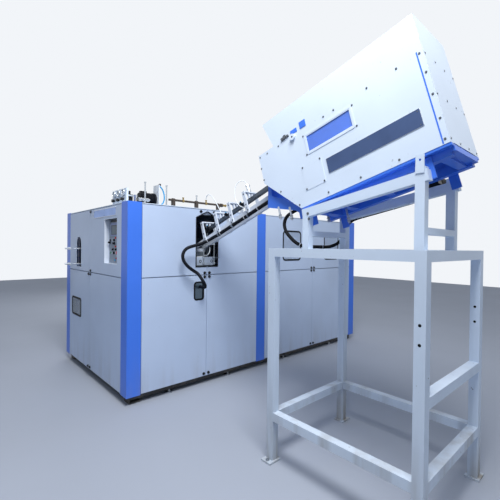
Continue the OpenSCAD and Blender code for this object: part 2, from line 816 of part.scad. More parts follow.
clamp_y = 720;
clamp_hx = 400;
plate_size = 460;
clamp_z = bed_z + 60;
end_plate_t = 40;
ram_r = 40;
ram_l = 215;
ram_case = 180;
tie_y = 180;
tie_in = 50;
module clamp_frame() {
    color("#5d6670") at_corner() translate([clamp_x, clamp_y, clamp_z]) {
        for (m = [0, 1]) mirror([m, 0, 0]) difference() {
            union() {
                translate([clamp_hx - end_plate_t / 2, -plate_size / 2, bed_z - clamp_z]) cube([end_plate_t, plate_size, plate_size + clamp_z - bed_z]);
                translate([clamp_hx - 100, 0, plate_size / 2]) rotate([0, 90, 0]) cylinder(r = ram_r + 20, h = ram_case);
            }
            translate([clamp_hx - 101, 0, plate_size / 2]) rotate([0, 90, 0]) cylinder(r = ram_r + running_fit, h = ram_case - 9);
        }
        for (y = [-tie_y, tie_y], z = [tie_in, plate_size - tie_in])
            translate([-clamp_hx - 40, y, z]) rotate([0, 90, 0]) cylinder(r = tie_r, h = 2 * clamp_hx + 80);
    }
}

platen_t = 35;
platen_w = 430;
mould_w = 240;
mould_z = 70;
mould_h = 320;
bottle_y = 60;
module mould_half() {
    color("#b8bcc0") difference() {
        union() {
            translate([-mould_open - mould_t - platen_t, -platen_w / 2, 10]) cube([platen_t, platen_w, plate_size - 20]);
            translate([-mould_open - mould_t, -mould_w / 2, mould_z]) cube([mould_t, mould_w, mould_h]);
            translate([-mould_open - mould_t - platen_t - ram_l, 0, plate_size / 2]) rotate([0, 90, 0]) cylinder(r = ram_r, h = ram_l + eps);
        }
        for (y = [-tie_y, tie_y], z = [tie_in, plate_size - tie_in])
            translate([-mould_open - mould_t - platen_t - 5, y, z]) rotate([0, 90, 0]) cylinder(r = tie_r + running_fit, h = platen_t + 10);
        for (y = [-bottle_y, bottle_y]) translate([-mould_open, y, mould_z]) bottle_cavity();
    }
}

bottle_r = 38;
bottle_foot = 30;
shoulder_z = 180;
neck_r = 14;
neck_z = 262;
neck_top = 330;
module bottle_cavity() {
    rotate_extrude($fn = 48) polygon([
        [0, bottle_foot], [bottle_r - 8, bottle_foot], [bottle_r, bottle_foot + 12], [bottle_r, shoulder_z],
        [bottle_r - 4, shoulder_z + 25], [neck_r, neck_z], [neck_r, neck_top], [0, neck_top],
    ]);
}

module mould_left() { at_corner() translate([clamp_x, clamp_y, clamp_z]) mould_half(); }
module mould_right() { at_corner() translate([clamp_x, clamp_y, clamp_z]) mirror([1, 0, 0]) mould_half(); }

guide_x = 150;
guide_y = 290;
guide_r = 15;
guide_top = zt - 125;
carriage_z = zt - 285;
module stretch_guides() {
    color(steel) at_corner() translate([clamp_x, clamp_y, 0]) {
        for (x = [-guide_x, guide_x]) translate([x, guide_y, bed_z]) cylinder(r = guide_r, h = guide_top - bed_z);
        translate([-guide_x - 50, guide_y - 50, guide_top - eps]) cube([2 * guide_x + 100, 100, 30]);
        translate([-guide_x - 50, guide_y - 40, bed_z]) cube([2 * guide_x + 100, 80, 30]);
    }
}

module stretch_carriage() {
    color(alu) at_corner() translate([clamp_x, clamp_y, carriage_z]) {
        difference() {
            translate([-guide_x - 40, -90, 0]) cube([2 * guide_x + 80, guide_y + 90 + 40, 40]);
            for (x = [-guide_x, guide_x]) translate([x, guide_y, -1]) cylinder(r = guide_r + running_fit, h = 60);
        }
        for (y = [-bottle_y, bottle_y]) translate([0, y, -280]) cylinder(r = 6, h = 281);
        for (y = [-bottle_y, bottle_y]) translate([0, y, 40 - eps]) cylinder(r = 24, h = 150);
    }
}

box_l = 800;
box_d = 260;
box_h = zt - 265 - bed_z;
module electrical_box() {
    color("#d8dadb") at_corner() translate([cab_l / 2 - 50, cab_w - frame_in - tube - box_d - 2, bed_z - 20]) {
        difference() {
            cube([box_l, box_d, box_h]);
            translate([10, -1, 10]) cube([box_l - 20, 3, box_h - 20]);
        }
        translate([30, box_d, z_split - bed_z]) cube([box_l - 60, 2 + tube - mid_rail, 30]);
    }
}

// Units on the roof

gauge_w = 374;
gauge_h = 150;
gauge_r = 36;
gauge_step = 120;
module gauge_manifold() {
    at_corner() translate([90, 246, zt]) {
        color(white) {
            translate([0, 0, 20]) cube([20, gauge_w, gauge_h]);
            for (y = [20, gauge_w - 60]) translate([0, y, 0]) cube([50, 40, 20 + eps]);
        }
        color(black) {
            for (i = [-1:1]) translate([0, gauge_w / 2 + i * gauge_step, 0]) {
                translate([0, 0, 126]) rotate([0, -90, 0]) difference() {
                    cylinder(r = gauge_r, h = 14);
                    translate([0, 0, 11]) cylinder(r = gauge_r - 4, h = 5);
                }
                translate([0, 0, 58]) rotate([0, -90, 0]) {
                    cylinder(r = 12, h = 12);
                    translate([0, 0, 12 - eps]) cylinder(r = knob_d / 2, h = 22);
                }
            }
            translate([20 - eps, 30, 40]) cube([60, gauge_w - 60, 70]);
            for (i = [0:4]) translate([56, 65 + i * 60, 110 - eps]) cylinder(r = 14, h = 38);
        }
    }
}

module blower() {
    at_corner() translate([330, 330, zt]) {
        color(black) {
            translate([-90, -70, 0]) cube([190, 140, 12]);
            translate([-70, 0, 85]) rotate([0, 90, 0]) cylinder(r = 62, h = 150);
            translate([80, 0, 85]) rotate([0, 90, 0]) cylinder(r = 70, h = 26);
            for (x = [-60, 50]) translate([x, -35, 0]) cube([20, 70, 60]);
            for (i = [0:5]) translate([-60 + i * 22, 0, 85]) rotate([0, 90, 0]) cylinder(r = 67, h = 5);
            translate([-30, 40, 130]) cube([70, 40, 45]);
        }
        color(alu) for (p = [[-60, -130, 246], [189, -130, 241], [580, -130, 172]])
            translate([p[0], p[1], 0]) {
                cylinder(r = 18, h = 14);
                cylinder(r = 8, h = p[2]);
                translate([0, 0, p[2] - 12]) cylinder(r = 12, h = 12);
            }
        color(white) translate([110, -105, 0]) {
            cube([10, 127, 240]);
            cube([50, 127, 8]);
        }
    }
}

header_x = 520;
header_l = 700;
header_y = 150;
header_r = 12;
header_z = 80;
module air_header() {
    at_corner() color("#8a8c7c") {
        translate([header_x, header_y, zt + header_z]) rotate([0, 90, 0]) cylinder(r = header_r, h = header_l);
        for (x = [40, 340, 650]) translate([header_x + x, header_y - 20, zt]) {
            cube([30, 40, header_z - header_r + 4]);
            translate([15, 20, header_z]) rotate([0, 90, 0]) translate([0, 0, -18]) cylinder(r = header_r + 8, h = 36, $fn = 6);
        }
        translate([header_x + header_l - eps, header_y, zt + header_z]) rotate([0, 90, 0]) cylinder(r = header_r + 10, h = 30, $fn = 8);
    }
}

// Stand

feed_x = seam1;
leg_x = stand_w / 2;
up_x = 270;
up_in = 142;
up_y1 = stand_gap + up_in;
up_y2 = up_y1 + 870;
module bar_x(y, z) { translate([-leg_x, -y - leg, z]) cube([stand_w, leg, leg]); }

foot_hole_out = 48;
foot_hole_r = 7;
foot_t = 12;
module stand_frame() {
    color(white) at_corner() translate([feed_x, 0, 0]) {
        for (sx = [-1, 1], y = [stand_gap, stand_gap + stand_d - leg]) {
            x = sx * (leg_x - leg / 2);
            translate([x - leg / 2, -y - leg, foot_t - eps]) cube([leg, leg, stand_h - foot_t + eps]);
            difference() {
                translate([x - leg / 2 - (sx < 0 ? 40 : 15), -y - leg - 15, 0]) cube([leg + 55, leg + 30, foot_t]);
                translate([x + sx * foot_hole_out, -y - leg / 2, -1]) cylinder(r = foot_hole_r, h = foot_t + 2);
            }
        }
        for (z = [300, stand_h - leg]) {
            for (y = [stand_gap, stand_gap + stand_d - leg]) bar_x(y, z);
            for (x = [-leg_x, leg_x - leg]) translate([x, -stand_gap - stand_d, z]) cube([leg, stand_d, leg]);
        }
        bar_x(stand_gap + stand_d - leg, 738);
        for (x = [-up_x, up_x - leg]) translate([x, -stand_gap - stand_d, stand_h - leg]) cube([leg, stand_d, leg]);
    }
}

beam_y = up_y1 - 10;
beam_z = stand_h + 290;
beam_l = 905;
beam_h = 65;
post_lap = 6;
tie_h = 40;
fish_h = 105;
function beam_top(y) = beam_z + (y - beam_y) * tan(beam_a);
module upper_frame_side() {
    translate([beam_y, beam_z]) rotate(beam_a) translate([0, -beam_h]) square([beam_l, beam_h]);
    translate([up_y1, stand_h]) square([up_tube, beam_top(up_y1) - stand_h - post_lap]);
    translate([up_y2 - up_tube, stand_h]) square([up_tube, beam_top(up_y2) - stand_h + 3 * post_lap]);
}

module upper_frame() {
    color(white) at_corner() translate([feed_x, 0, 0]) {
        for (s = [-1, 1]) translate([s * (up_x - up_tube / 2), 0, 0]) side_profile(up_tube) upper_frame_side();
        for (y = [up_y1, up_y2 - up_tube])
            translate([up_tube / 2 - up_x, -y - up_tube, stand_h + 90]) cube([2 * up_x - up_tube, up_tube, tie_h]);
        for (s = [-1, 1]) translate([s * (up_x + 2), 0, 0]) difference() {
            side_profile(5) translate([up_y2 - up_tube + 3, beam_top(up_y2) - 20]) square([up_tube - 6, fish_h]);
            translate([-20, -up_y2 + up_tube / 2, beam_top(up_y2) + fish_h - 50]) rotate([0, 90, 0])
                cylinder(r = foot_hole_r, h = 40);
        }
    }
}

// Unscrambler, drawn along its slope: u outwards and up, v square to the slope

uns_y = 1567;
uns_z = stand_h + 303;
uns_l = 1063;
side_h = 586;
hop_top = 822;
nose_u = 331;
nose_v = 337;
skin = 3;
module on_slope() { at_corner() translate([feed_x, -uns_y, uns_z]) rotate([-uns_a, 0, 0]) children(); }

join_y = 1170;
join_z = uns_z + 104;
conduit_end = [feed_x - 89.5, join_z + 44];
nose_plate = [[-20, -45], [-90, -6], [-397, 38], [-397, 232], [-367, 232], [-352, 134], [-316, 119], [-226, 100], [0, -4]];
rail_w = 50;
rail_x = 205;
rail_h2 = 60;
lug_t = up_x - up_tube - rail_x;
lug_u = [35, 880];
lug_w = 60;
strip_w = 38;
strip_t = 16;
trough_x = 165;
trough_v = 525;
stud_r = 8;
module blue_underframe() {
    color(blue) {
        on_slope() {
            for (s = [-1, 1])
                translate([s > 0 ? rail_x - rail_w : -rail_x, -roller_u1 - 10, -rail_h2]) cube([rail_w, roller_u1 + 70, rail_h2]);
            for (u = [roller_u0 - 10, roller_u1]) difference() {
                translate([-rail_x + 5, -u - 10, -eps]) cube([2 * rail_x - 10, 10, roller_v + 60]);
                for (s = [-1, 1]) translate([s * roller_off, -u + 1, roller_v]) rotate([90, 0, 0])
                    cylinder(r = roller_shaft_r + running_fit, h = 12);
                translate([-9, -u - 11, roller_v]) cube([18, 12, 80]);
            }
            translate([cable_exit_x - feed_x, 50 - eps, 40]) rotate([-90, 0, 0]) cylinder(r = cable_r + 6, h = 20);
            for (u = [40, 196, 500, 960]) translate([-rail_x, -u - 50, -rail_h2 + 5]) cube([2 * rail_x, 50, 50]);
            for (s = [-1, 1], u = lug_u)
                translate([s > 0 ? rail_x - eps : -rail_x - lug_t, -u - lug_w, -150]) cube([lug_t + eps, lug_w, 130]);
            for (s = [-1, 1]) {
                translate([s > 0 ? rail_x - eps : -rail_x - strip_w, -uns_l, -strip_t])
                    cube([strip_w + eps, uns_l, strip_t]);
                translate([s * trough_x, 0, 0]) side_profile(skin)
                    translate([roller_u0 - 1, -5]) square([roller_u1 - roller_u0 + 2, trough_v + 5]);
            }
            translate([-rail_x, -uns_l, -40]) cube([2 * rail_x, uns_l - roller_u1 + 20, 35]);
            for (p = [[0, 52, -112, -50], [0, 221, -172, -50], [4 - rail_x, -144, -42, 68], [4 - rail_x, -258, 3, 111]])
                translate([p[0], -p[1], p[2]]) cylinder(r = stud_r, h = p[3] - p[2]);
        }
        at_corner() translate([feed_x, 0, 0]) {
            for (s = [-1, 1]) translate([s * (rail_x - 4), 0, 0]) side_profile(8)
                polygon([for (p = nose_plate) [uns_y + p[0], uns_z + p[1]]]);
            translate([-rail_x, -join_y - 10, join_z]) cube([2 * rail_x, 10, 122]);
            translate([conduit_end[0] - feed_x, -join_y + 8, conduit_end[1]]) rotate([90, 0, 0]) difference() {
                cylinder(r = conduit_r + 10, h = 8 + eps);
                translate([0, 0, -1]) cylinder(r = conduit_r + 7, h = 9);
            }
        }
    }
}

peep_u = 170;
peep_v = 376;
peep_w = 387;
peep_h = 135;
peep_lap = 12;
hatch_u = 78;
hatch_v = 109;
hatch_w = 182;
hatch_h = 191;
module side_covers() {
    color(white) on_slope() for (s = [-1, 1]) {
        difference() {
            union() {
                translate([s * (uns_w / 2 - skin / 2), 0, 0]) side_profile(skin)
                    polygon([[0, 0], [uns_l, 0], [uns_l, side_h], [-nose_u, side_h], [-nose_u + 6, nose_v]]);
                translate([s > 0 ? uns_w / 2 - 45 : -uns_w / 2, -uns_l, 0]) cube([45, uns_l, skin]);
                translate([s * (uns_w / 2 + 8), -kick_u, kick_v]) rotate([0, 90, 0]) cylinder(r = 24, h = 16 + eps, center = true);
            }
            translate([0, -kick_u, kick_v]) rotate([0, 90, 0]) cylinder(r = kick_r + running_fit, h = 2 * uns_w, center = true);
            if (s < 0) translate([-uns_w, 0, 0]) rotate([90, 0, 90]) linear_extrude(uns_w)
                translate([-peep_u - peep_w, peep_v]) square([peep_w, peep_h]);
        }
    }
    color("#23262a") on_slope() translate([-uns_w / 2 - 2, 0, 0]) difference() {
        translate([0, -peep_u - peep_w - peep_lap, peep_v - peep_lap])
            cube([2, peep_w + 2 * peep_lap, peep_h + 2 * peep_lap]);
        translate([-1, 8 - peep_u - peep_w, peep_v + 8]) cube([4, peep_w - 16, peep_h - 16]);
    }
    color(white) on_slope() {
        translate([-uns_w / 2 - 2, -hatch_u - hatch_w, hatch_v]) cube([2, hatch_w, hatch_h]);
        translate([-uns_w / 2 + skin, -uns_l, skin]) cube([uns_w - 2 * skin, skin, side_h - skin]);
        for (v = [nose_v, side_h - 60]) translate([-uns_w / 2 + skin, nose_u - 9, v + 6]) cube([uns_w - 2 * skin, skin, 50]);
    }
}

kick_u = 60;
kick_v = 560;
kick_r = 8;
kick_hub_r = 28;
kick_w = 80;
kick_l = 48;
low_u = -149;
lean = 77;
module hopper() {
    color(white) on_slope() {
        for (s = [-1, 1]) translate([s * (uns_w / 2 - skin / 2), 0, 0]) side_profile(skin)
            polygon([[low_u, side_h], [uns_l, side_h], [uns_l, hop_top], [low_u - lean, hop_top]]);
        side_profile(uns_w) polygon([[low_u, side_h], [low_u + skin, side_h], [low_u - lean + skin, hop_top], [low_u - lean, hop_top]]);
        side_profile(uns_w) polygon([[uns_l - skin, side_h], [uns_l, side_h], [uns_l, hop_top], [uns_l - skin, hop_top]]);
        side_profile(uns_w) polygon([[-nose_u, side_h], [low_u + skin, side_h], [low_u + skin, side_h + skin], [-nose_u, side_h + skin]]);
        for (s = [-1, 1]) translate([0, -kick_u - 90, 0]) rotate([90, 0, 0]) linear_extrude(uns_l - kick_u - 130)
            polygon([[s * (uns_w / 2 - skin), side_h], [s * (uns_w / 2 - skin), side_h + 4], [s * 100, 500], [s * 100, 496]]);
    }
}

roller_v = 430;
roller_u0 = -40;
roller_u1 = 1030;
roller_shaft_r = 12.5;
stub_l = 16;
module sorting_roller(s) {
    color(steel) on_slope() translate([s * roller_off, -roller_u0 - 10.5, roller_v]) rotate([90, 0, 0]) {
        cylinder(r = roller_r, h = roller_u1 - roller_u0 - 21);
        translate([0, 0, -stub_l]) cylinder(r = roller_shaft_r, h = roller_u1 - roller_u0 - 5 + stub_l);
    }
}
module sorting_roller_left() { sorting_roller(-1); }
module sorting_roller_right() { sorting_roller(1); }

module kick_wheel() {
    color("#3c4a5a") on_slope() translate([0, -kick_u, kick_v]) rotate([0, 90, 0]) {
        cylinder(r = kick_r, h = uns_w + 30, center = true);
        cylinder(r = kick_hub_r, h = kick_w + 10, center = true);
        for (a = [0:90:270]) rotate([0, 0, a])
            translate([kick_hub_r - 8, -4, -kick_w / 2]) cube([kick_l, 8, kick_w]);
    }
}

motor_u = 770;
motor_v = -47;
motor_r = 44;
motor_l = 150;
fin_step = 18;
gearbox_w = 70;
gearbox_h = 56;
module gear_motor() {
    color(black) on_slope() translate([rail_x, -motor_u, motor_v]) {
        translate([0, -45, -gearbox_h / 2]) cube([gearbox_w, 90, gearbox_h]);
        translate([gearbox_w - eps, 0, 0]) rotate([0, 90, 0]) {
            cylinder(r = motor_r, h = motor_l);
            translate([0, 0, motor_l]) cylinder(r1 = motor_r, r2 = motor_r - 8, h = 16);
            for (i = [0:6]) translate([0, 0, 12 + i * fin_step]) cylinder(r = motor_r + 5, h = 6);
        }
        translate([gearbox_w + 30, -20, -motor_r - 24]) cube([70, 40, 30]);
    }
}

// Chute, drawn along its slope from the cabinet face outwards

chute_y = 38;
chute_z = zt - 362;
chute_run = join_y - chute_y - 7.4;
chute_rise = join_z - chute_z + 90.2;
chute_a = atan2(chute_rise, chute_run);
chute_l = norm([chute_run, chute_rise]);
module on_chute() { at_corner() translate([feed_x, -chute_y, chute_z]) rotate([-chute_a, 0, 0]) children(); }
chute_in = 220;
track_x = 75;
track_w = 30;
track_h = 40;
arm_t = 12;
arm_w = 40;
clip_n = -44;
chute_foot_z = chute_z - 123;
bracket_s = [40, 300, 545, 790];
bracket_h = 205;
gate_s = 790;
gate_r = 5;
module chute() {
    color(alu) on_chute() {
        for (s = [-1, 1]) translate([s > 0 ? track_x - track_w : -track_x, -chute_l, -track_h / 2])
            cube([track_w, chute_l + chute_in, track_h]);
        for (s = bracket_s) translate([0, -s - 20, 0]) difference() {
            union() {
                for (x = [-track_x - arm_t, track_x - eps]) translate([x, 0, -track_h / 2])
                    cube([arm_t, arm_w, bracket_h + track_h / 2]);
                translate([-track_x - arm_t, 0, bracket_h - arm_t]) cube([2 * (track_x + arm_t), arm_w, arm_t]);
                for (x = [-26, 14]) translate([x, 8, 140 - eps]) cube([12, 24, bracket_h - 140]);
            }
            if (s == gate_s) translate([0, 20, 100]) cylinder(r = gate_r + running_fit, h = 300);
        }
    }
    color(alu) at_corner() translate([feed_x, 0, 0]) {
        translate([-75, 145, chute_foot_z]) cube([150, 12, 35]);
        translate([-50, -join_y, join_z + 40]) cube([100, 14, 75]);
    }
    color(alu) on_chute() for (s = [bracket_s[1], bracket_s[2], bracket_s[3]]) {
        translate([conduit_end[0] - feed_x, -s + 6, clip_n]) rotate([90, 0, 0]) difference() {
            cylinder(r = conduit_r + 4, h = 12);
            translate([0, 0, -1]) cylinder(r = conduit_r + seat_gap, h = 14);
        }
        translate([-86, -s - 6, clip_n + conduit_r + 2]) cube([10, 12, -clip_n - conduit_r - 21]);
    }
    color(black) on_chute() for (x = [-24, 16]) translate([x, -chute_l, 110]) cube([8, chute_l + 60, 30]);
    color(black) on_chute() translate([0, -gate_s, bracket_h]) difference() {
        cylinder(r = 20, h = 85);
        translate([0, 0, -1]) cylinder(r = gate_r + running_fit, h = 60);
    }
}

module gate_rod() {
    color(alu) on_chute() translate([0, -gate_s, 165]) cylinder(r = gate_r, h = bracket_h - 165 + 30);
}

// Free cords: a tube swept along points chosen by hand, with rounded turns between them.
// The points are heights and distances on the cabinet of the standing size.

function unit(v) = v / norm(v);
function spline_point(a, b, c, d, t) = 0.5 * (2 * b + (c - a) * t + (2 * a - 5 * b + 4 * c - d) * t * t
    + (3 * b - a - 3 * c + d) * t * t * t);
function route_points(p, n) = let (m = len(p) - 1) [
    for (i = [0:m - 1], k = [0:n - 1])
        spline_point(p[max(i - 1, 0)], p[i], p[i + 1], p[min(i + 2, m)], k / n),
    p[m]
];
function tangent(p, i) = unit(p[min(i + 1, len(p) - 1)] - p[max(i - 1, 0)]);
function carry(n, t) = unit(n - (n * t) * t);
function normals(p, i = 0, n = [0.3, 0.2, 1]) = let (c = carry(n, tangent(p, i)))
    i == len(p) - 1 ? [c] : concat([c], normals(p, i + 1, c));

module swept_tube(p, r, sides) {
    ns = normals(p);
    rings = [for (i = [0:len(p) - 1]) let (t = tangent(p, i), n = ns[i], b = cross(t, n))
        for (k = [0:sides - 1]) p[i] + r * (cos(360 * k / sides) * n + sin(360 * k / sides) * b)];
    m = len(p);
    faces = concat(
        [for (i = [0:m - 2], k = [0:sides - 1]) let (a = i * sides + k, b = i * sides + (k + 1) % sides)
            [a, a + sides, b + sides, b]],
        [[for (k = [0:sides - 1]) k]],
        [[for (k = [sides - 1:-1:0]) (m - 1) * sides + k]]);
    polyhedron(points = rings, faces = faces);
}

conduit_route = [
    [832, -8, 1110], [832, -20, 1110], [832, -86, 1110], [816, -127, 1127], [790, -150, 1159],
    [764, -147, 1202], [728, -116, 1266], [663, -105, 1310], [600, -109, 1355], [559, -107, 1406],
    [545, -106, 1456], [559, -105, 1502], [595, -106, 1537], [645, -110, 1557], [700, -120, 1572],
    [753, -147, 1591], [799, -191, 1621], [828, -253, 1657], [838, -334, 1688], [838, -390, 1710],
    [838, -446, 1731], [838, -563, 1775], [838, -792, 1862], [838, -988, 1937], [838, -1082, 1972],
    [838, -1162, 2003]
];
cable_exit_x = 790;
cable_route = [
    [790, -1488, 1876], [790, -1470, 1871], [788, -1400, 1851], [778, -1335, 1812], [768, -1318, 1752],
    [762, -1345, 1688], [764, -1398, 1634], [778, -1442, 1596], [812, -1478, 1574], [872, -1489, 1567.8],
    [1000, -1490, 1567.8], [1110, -1490, 1567.8], [1170, -1502, 1575], [1204, -1546, 1604],
    [1213, -1594, 1658], [1214, -1615, 1722], [1215, -1648, 1774], [1216, -1715, 1806],
    [1217, -1900, 1845], [1219, -2080, 1883], [1228, -2150, 1900], [1248, -2210, 1920],
    [1262, -2258, 1938.5], [1266, -2286, 1950.3], [1266.4, -2311.5, 1957.6]
];
module power_cable() {
    color(black) at_corner() swept_tube(route_points(cable_route, 3), cable_r, 8);
}

module conduit() {
    color(black) at_corner() swept_tube(route_points(conduit_route, 4), conduit_r, 10);
}

base_frame();
levelling_feet();
inner_frame();
post_covers();
roof_panel();
fixed_panels();
end_cover();
hinge_plates();
port_panel();
infeed_left_panel();
infeed_right_door();
lower_right_door();
bay2_upper_left_door();
bay2_upper_right_door();
bay2_lower_left_door();
bay2_lower_right_door();
control_door();
end_right_door();
end_left_door();
window_left();
window_right();
window_end();
infeed_trim_left();
infeed_trim_right();
port_plate();
control_tub();
control_screen();
estop_button();
start_button();
selector_switch();
nameplate();
outlet_rails();
machine_bed();
oven_walls();
oven_lamps();
preform_chain();
chain_wheel_left();
chain_wheel_right();
clamp_frame();
mould_left();
mould_right();
stretch_guides();
stretch_carriage();
electrical_box();
gauge_manifold();
blower();
air_header();
stand_frame();
upper_frame();
blue_underframe();
side_covers();
hopper();
sorting_roller_left();
sorting_roller_right();
kick_wheel();
gear_motor();
chute();
gate_rod();
conduit();
power_cable();
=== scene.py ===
"""Looks of a two-stage stretch blow moulding machine with its preform feeder, chute and stand.

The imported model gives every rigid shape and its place. This script gives each of its nodes a
finish, and adds the cords, the fasteners and the small fittings that ride on them. Lengths are
metres in the row frame. Places are written as the machine's builder reads them off a drawing,
in millimetres from the cabinet's left front corner on the floor: x along the long front side,
y into the cabinet and z up.
"""

from __future__ import annotations

import json
import logging
import math
from collections.abc import Callable, Mapping, Sequence
from dataclasses import dataclass, field
from enum import Enum
from typing import Any

import bmesh
import bpy
from mathutils import Matrix, Vector

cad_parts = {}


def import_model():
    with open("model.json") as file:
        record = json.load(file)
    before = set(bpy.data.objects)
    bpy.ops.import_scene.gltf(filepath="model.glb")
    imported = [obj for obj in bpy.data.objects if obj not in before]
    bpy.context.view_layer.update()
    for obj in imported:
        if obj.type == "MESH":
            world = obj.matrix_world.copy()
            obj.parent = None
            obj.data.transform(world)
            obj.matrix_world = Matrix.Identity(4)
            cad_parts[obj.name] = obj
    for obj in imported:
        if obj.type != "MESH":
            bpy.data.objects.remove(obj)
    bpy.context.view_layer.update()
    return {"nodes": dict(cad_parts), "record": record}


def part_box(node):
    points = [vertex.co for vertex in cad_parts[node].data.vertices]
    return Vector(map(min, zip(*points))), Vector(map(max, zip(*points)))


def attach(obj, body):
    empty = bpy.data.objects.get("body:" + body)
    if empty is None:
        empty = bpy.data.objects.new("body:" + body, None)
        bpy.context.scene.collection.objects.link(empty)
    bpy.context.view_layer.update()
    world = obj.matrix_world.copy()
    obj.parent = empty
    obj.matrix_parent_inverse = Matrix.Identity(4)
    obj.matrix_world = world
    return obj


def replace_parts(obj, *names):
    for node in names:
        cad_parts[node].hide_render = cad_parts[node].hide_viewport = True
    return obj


LOG = logging.getLogger("blow_moulding_machine")
PHOTO_PIXELS = 500
MM = 0.001

Pair = tuple[float, float]
Point = tuple[float, float, float]
Place = Callable[[float, float, float], Vector]
Profile = tuple[Pair, ...]
Block = tuple[Point, Point, float]

UP = Vector((0, 0, 1))
ALONG_X = Vector((1, 0, 0))
TO_END = Vector((-1, 0, 0))
TO_FRONT = Vector((0, -1, 0))


# Drawing coordinates


@dataclass(frozen=True)
class Slope:
    """A frame that slopes up as it leaves the cabinet.

    Attributes:
        y: Where it starts along the drawing's y axis.
        z: The height at which it starts.
        degrees: Its slope.
    """

    y: float
    z: float
    degrees: float


HOPPER = Slope(-1567, 1856, 15.5)
CHUTE = Slope(-38, 1623, 20.8004)


@dataclass(frozen=True)
class Drawing:
    """Turns drawing millimetres into the row frame.

    Attributes:
        corner: The cabinet's left front corner on the floor, in metres.
        feeder_x: The feeder's middle line.
    """

    corner: Vector
    feeder_x: float = 927.5

    def at(self, x: float, y: float, z: float) -> Vector:
        """Returns the row frame's point for drawing millimetres."""
        return self.corner + Vector((x, y, z)) * MM

    def on(self, slope: Slope) -> Place:
        """Returns the function that places a point on a sloping frame.

        Args:
            slope: The frame.

        Returns:
            The function of x from the feeder's middle, the way along the slope and the height over it.
        """
        cosine, sine = math.cos(math.radians(slope.degrees)), math.sin(math.radians(slope.degrees))

        def place(x: float, along: float, up: float) -> Vector:
            """Returns the point in the row frame."""
            y, z = slope.y - along * cosine + up * sine, slope.z + along * sine + up * cosine
            return self.at(self.feeder_x + x, y, z)

        return place


# Node trees


def math_method(operation: str, swapped: bool = False) -> Callable[[Num, Num | float], Num]:
    """Returns the method for one of Python's operators.

    Args:
        operation: The Math node's operation.
        swapped: Whether the other value comes first.

    Returns:
        The method.
    """

    def method(self: Num, other: Num | float) -> Num:
        """Adds the operator's Math node."""
        return self.math(operation, *((other, self) if swapped else (self, other)))

    return method


class Num:
    """A socket of a node tree; Python's operators on it add Math nodes."""

    def __init__(self, graph: Graph, socket: bpy.types.NodeSocket) -> None:
        """Wraps a socket of a graph."""
        self.graph, self.socket = graph, socket

    def math(self, operation: str, *values: Num | float, clamp: bool = False) -> Num:
        """Adds one Math node.

        Args:
            operation: The Math node's operation.
            *values: Its inputs, in order.
            clamp: Whether the result is kept from 0 to 1.

        Returns:
            The node's result.
        """
        sockets = dict(enumerate(values))
        node = self.graph.node("ShaderNodeMath", sockets, operation=operation, use_clamp=clamp)
        return Num(self.graph, node.outputs[0])

    __add__ = math_method("ADD")
    __radd__ = math_method("ADD", swapped=True)
    __sub__ = math_method("SUBTRACT")
    __rsub__ = math_method("SUBTRACT", swapped=True)
    __mul__ = math_method("MULTIPLY")
    __rmul__ = math_method("MULTIPLY", swapped=True)
    __truediv__ = math_method("DIVIDE")
    __rtruediv__ = math_method("DIVIDE", swapped=True)
    __gt__ = math_method("GREATER_THAN")
    __lt__ = math_method("LESS_THAN")

    def clamped(self) -> Num:
        """Returns self kept from 0 to 1."""
        return self.math("ADD", self, 0.0, clamp=True)

    def ramp(self, low: float, high: float) -> Num:
        """Returns 0 at low and 1 at high, straight between them and kept within that."""
        return ((self - low) * (1 / (high - low))).clamped()


class Graph:
    """Adds nodes to a node tree."""

    def __init__(self, tree: bpy.types.NodeTree) -> None:
        """Starts on a tree."""
        self.tree = tree

    def node(
        self, kind: str, sockets: Mapping[str | int, Any] | None = None, **settings: Any
    ) -> bpy.types.Node:
        """Adds one node, sets it up and then fills or links its sockets.

        Args:
            kind: The node's type.
            sockets: Values, Nums, sockets, or nodes for their first output, by the input's name or number.
            **settings: The node's own settings.

        Returns:
            The node.
        """
        made = self.tree.nodes.new(kind)
        for name, value in settings.items():
            setattr(made, name, value)
        for key, value in (sockets or {}).items():
            if isinstance(value, bpy.types.Node):
                value = value.outputs[0]
            source = value.socket if isinstance(value, Num) else value
            if isinstance(source, bpy.types.NodeSocket):
                self.tree.links.new(source, made.inputs[key])
            else:
                made.inputs[key].default_value = source
        return made


